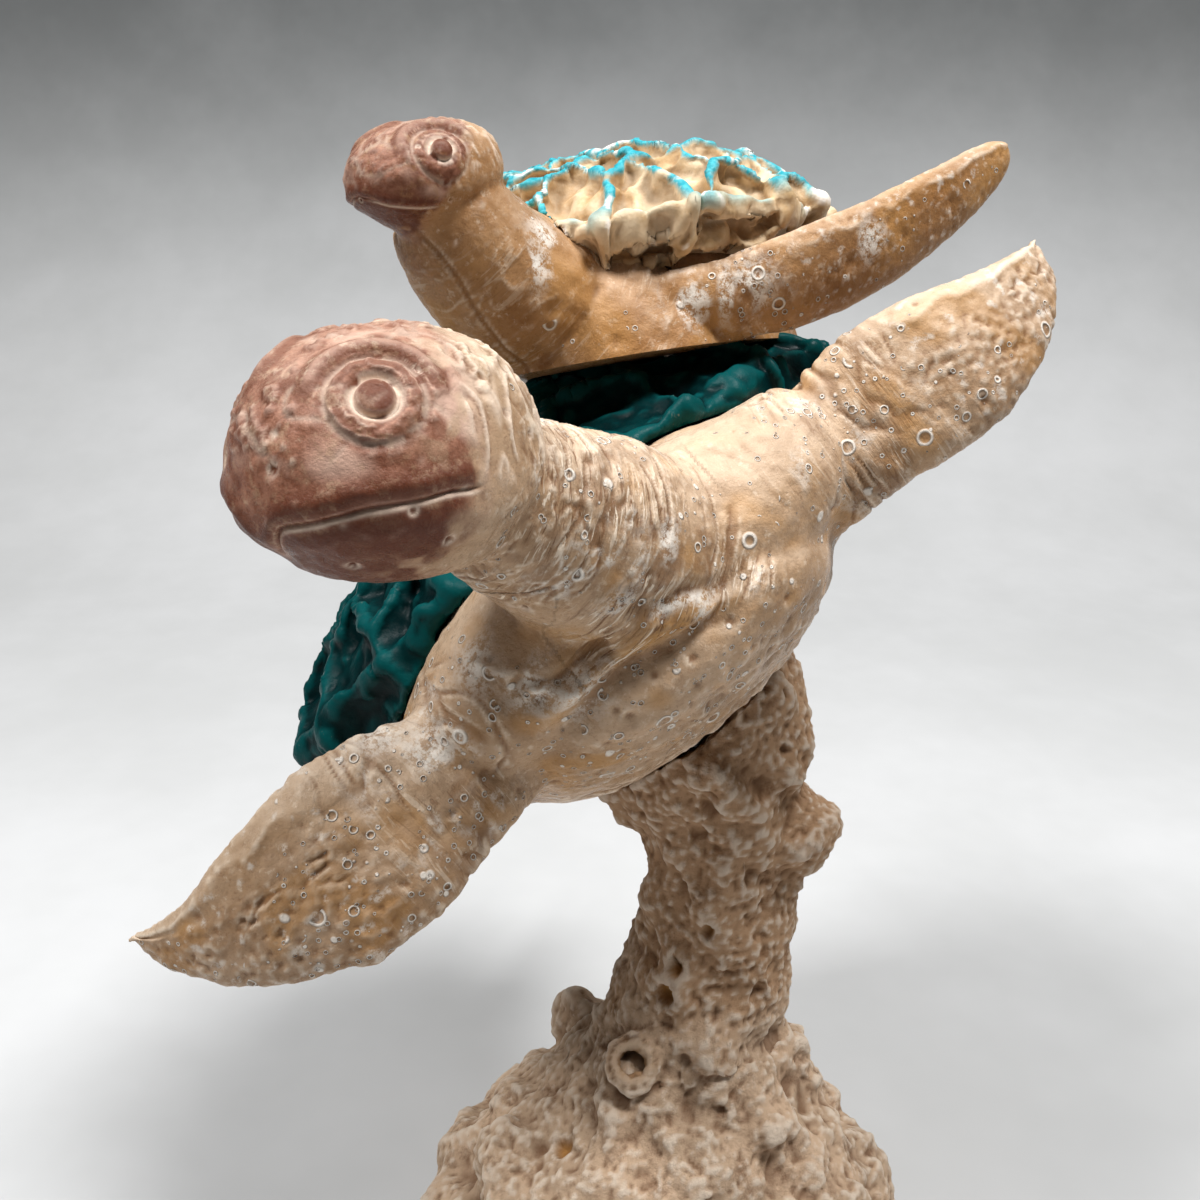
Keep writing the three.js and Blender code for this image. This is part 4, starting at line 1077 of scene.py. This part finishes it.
def carve_coral(coral):
    """Rough coral: lumps, crumbling grain, ragged pores and a few deep burrows."""
    points = coral.points
    above = ramp(points[:, 2], FOOT_TOP, 2 * FOOT_TOP)
    mouth = points - np.array(SPONGE_MOUTH)
    along = mouth @ unit(SPONGE_AIM)
    off_axis = lengths(mouth - along[:, None] * unit(SPONGE_AIM))
    tube = ramp(off_axis, SPONGE_RADIUS + 2.5, SPONGE_RADIUS) * ramp(along, -5, -2)
    inside_tube = tube * ramp(off_axis, BORE_RADIUS + 0.6, BORE_RADIUS)
    coral.push(0.9 * inside_tube)
    too_deep = np.maximum(-BORE_SHOWN - along, 0) * (off_axis < BORE_RADIUS + 0.4) * (along > -BORE_DRILLED)
    coral.sway(0.9 * too_deep[:, None] * unit(SPONGE_AIM))
    mound = ramp(points[:, 2], MOUND_TOP + 6, MOUND_TOP - 6)
    lumps = (1.8 + 1.4 * mound) * grain(points, 10.5) + (1.0 + 0.7 * mound) * grain(points, 4.6, 4.2) - 0.4
    coral.push(above * (1 - 0.7 * tube) * lumps)
    crumbs = 0.5 * (np.abs(grain(points, 2.6, 8.3)) - 0.25) + 0.42 * grain(points, 1.3, 1.2)
    pores = pits(points + 1.2 * drift(points, 3, (1.1, 5.2, 9.4)), 5.2, 0.3)
    burrow, lip = np.zeros((2, len(points)))
    for centre, radius in CORAL_BURROWS:
        away = far_from(coral.points, centre) / radius
        burrow = np.maximum(burrow, ramp(away, 1.1, 0.5))
        lip = np.maximum(lip, bell(away, 1.5, 0.35))
    coral.push(above * (1 - 0.3 * tube) * (crumbs - 1.1 * pores - 2.4 * burrow + 0.25 * lip))
    # Painted shade and brown wash in the coral's fine and broad hollows.
    coral.paint("wash_and_shade", 0.85 * ramp(coral.hollows(4), 0.03, 0.22))
    coral.paint("wash_and_shade", 0.75 * ramp(coral.hollows(40), 0.15, 0.9))
    coral.paint("crest", 0.7 * ramp(-coral.hollows(6), 0.03, 0.2))
    coral.paint("crest", 0.6 * ramp(-coral.hollows(40), 0.2, 1.0))
    coral.paint("ochre", 0.8 * burrow)
    coral.masks["wash_and_shade"] *= 1 - 0.9 * inside_tube
    coral.paint("ochre", 0.35 * inside_tube)
    coral.paint("brown", ramp(points[:, 2] + 16 * grain(points, 11, 3.0), 46, 58))


# The castings

def near_face_lines(points, face):
    """True near the eyes and the mouth line, where the carving is finest."""
    seen = from_frame(points, face["frame"])
    size = face["eye_size"]
    near = np.abs(over_lip(seen, face)) < 2.2
    near &= (seen[:, 0] > face["corner"] - 2) & (lengths(seen) < face["reach"])
    for side in (1, -1):
        near |= far_from(seen, np.array(face["eye"]) * np.array([1, side, 1])) < 11.5 * size
    return near


def large_turtle():
    skin = fused("large_body", LARGE_JOINTS, voxel=0.8, rounds=40)
    x = from_frame(points_of(skin), LARGE)[:, 0]
    skin = refined(skin, (x > 24) | (x < -46))
    whole = Casting(refined(skin, near_face_lines(points_of(skin), LARGE_FACE)))
    carve_large_skin(whole)
    resin = bone_resin("bone_resin", TAN, TAN_DEEP, top_light=0.42)
    for name, mesh in parted(whole.painted(), LARGE_JOINTS, LARGE, "large_body").items():
        place(name, mesh, resin, "face_resin" if name == "large_head" else "bone_resin")
    shell = Casting(settled(remeshed(mesh_from(merged_copy("large_carapace"), "shell"), 0.62), 8))
    carve_large_shell(shell)
    place("large_carapace", shell.painted(), teal_shell(), "teal_shell")


def small_turtle():
    skin = fused("small_body", SMALL_JOINTS, voxel=0.42, rounds=60, sawn=SMALL)
    whole = Casting(refined(skin, near_face_lines(points_of(skin), SMALL_FACE)))
    carve_small_skin(whole)
    resin = bone_resin("honey_resin", HONEY, HONEY_DEEP, top_light=0.2)
    meshes = parted(whole.painted(), SMALL_JOINTS, SMALL, "small_body")
    meshes["small_body"] = sawn_flat(meshes["small_body"], SMALL)
    for name, mesh in meshes.items():
        place(name, mesh, resin, "bone_resin")
    shell = Casting(settled(remeshed(mesh_from(merged_copy("small_carapace"), "shell"), 0.4), 8))
    carve_small_shell(shell)
    place("small_carapace", shell.painted(), net_shell(), "net_shell")


def coral_stand():
    coral = Casting(fused("coral_base", CORAL_JOINTS, voxel=0.6, rounds=12))
    carve_coral(coral)
    resin = coral_resin()
    for name, mesh in parted(coral.painted(), CORAL_JOINTS, Matrix.Identity(4), "coral_base").items():
        place(name, mesh, resin, "coral_resin")


def hidden_hardware():
    material = drawn_steel()
    for name in ("pillar_rod", "seat_pin_front", "seat_pin_rear"):
        paint_all(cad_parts[name].data, material)


def felt_pad():
    """The felt under the foot: its cut edge is slightly rounded."""
    bm = merged_copy("felt_pad")
    rim = [e for e in bm.edges if e.calc_face_angle(0) > 1]
    bmesh.ops.bevel(bm, geom=rim, offset=0.3 * MM, segments=2, profile=0.5, affect="EDGES", material=-1)
    pad = place("felt_pad", mesh_from(bm, "felt_pad_sheet"), grey_felt(), "felt", ending="_sheet")


# The stage, in metres

SWEEP_PALE = ((0.51, 0.515, 0.515), (0.59, 0.595, 0.60))  # the floor's cloudy colours
SWEEP_GREY = ((0.12, 0.125, 0.125), (0.17, 0.175, 0.175))  # the wall's
GREY_FROM_TO = (0.02, 0.35)  # heights between which one turns into the other
LAMP_TARGET = (0, 0, 0.15)
LAMP_SIZE = 0.25
ROOM_COLOUR, ROOM_STRENGTH = (1.0, 0.96, 0.90), 0.06


def backdrop():
    """A pale sweep: floor, a round bend and a wall behind."""
    bm = bmesh.new()
    half_width, front, back, height, bend = 1.6, -0.9, 0.75, 1.2, 0.4
    corners = [bm.verts.new((-half_width, y, z)) for y, z in ((front, 0), (back, 0), (back, height))]
    for k in (0, 1):
        bm.edges.new(corners[k:k + 2])
    fold = [corners[1]]
    bmesh.ops.bevel(bm, geom=fold, offset=bend, segments=16, profile=0.5, affect="VERTICES", material=-1)
    made = bmesh.ops.extrude_edge_only(bm, edges=bm.edges[:])
    side = [g for g in made["geom"] if isinstance(g, bmesh.types.BMVert)]
    bmesh.ops.translate(bm, verts=side, vec=(2 * half_width, 0, 0))
    bmesh.ops.recalc_face_normals(bm, faces=bm.faces)
    sweep = linked("backdrop", mesh_from(bm, "backdrop"))
    sweep.data.polygons.foreach_set("use_smooth", [True] * len(sweep.data.polygons))
    paint = Paint("pale_backdrop")
    place_in_sweep = paint.node("SeparateXYZ")
    paint.link(paint.where, place_in_sweep.inputs[0])
    cloud = paint.ramp(paint.noise(180, 5, 0.65), 0.3, 0.75)
    pale, grey = paint.mix(cloud, *SWEEP_PALE), paint.mix(cloud, *SWEEP_GREY)
    colour = paint.mix(paint.ramp(place_in_sweep.outputs["Z"], *GREY_FROM_TO), pale, grey)
    sweep.data.materials.append(paint.finish(colour, 0.9))


def area_light(name, at, power):
    """A square lamp that faces the turtles."""
    lamp = bpy.data.lights.new(name, "AREA")
    lamp.size = LAMP_SIZE
    lamp.energy = power
    holder = linked(name, lamp)
    holder.location = at
    holder.rotation_euler = (Vector(LAMP_TARGET) - Vector(at)).to_track_quat("-Z", "Y").to_euler()


def lighting():
    """Two soft lights overhead, the stronger one on the right, and the even light of a pale room."""
    area_light("overhead_right", at=(0.32, -0.1, 1.0), power=11.8)
    area_light("overhead_left", at=(-0.45, -0.15, 0.9), power=8.0)
    world = bpy.data.worlds.new("soft_room")
    world.use_nodes = True
    room = world.node_tree.nodes["Background"]
    room.inputs["Color"].default_value = (*ROOM_COLOUR, 1)
    room.inputs["Strength"].default_value = ROOM_STRENGTH
    bpy.context.scene.world = world


def camera():
    """Close and a little above, looking 20 degrees down with a 53 degree view."""
    lens = bpy.data.cameras.new("camera")
    lens.sensor_width = 36
    lens.lens = 36.1
    lens.clip_start = 0.01
    holder = linked("camera", lens)
    holder.location = (-0.0115, -0.186, 0.2039)
    holder.rotation_euler = (math.radians(90 - 20), 0, 0)
    bpy.context.scene.camera = holder


camera()
lighting()
backdrop()
coral_stand()
large_turtle()
small_turtle()
hidden_hardware()
felt_pad()
bpy.context.scene.view_settings.view_transform = "Standard"
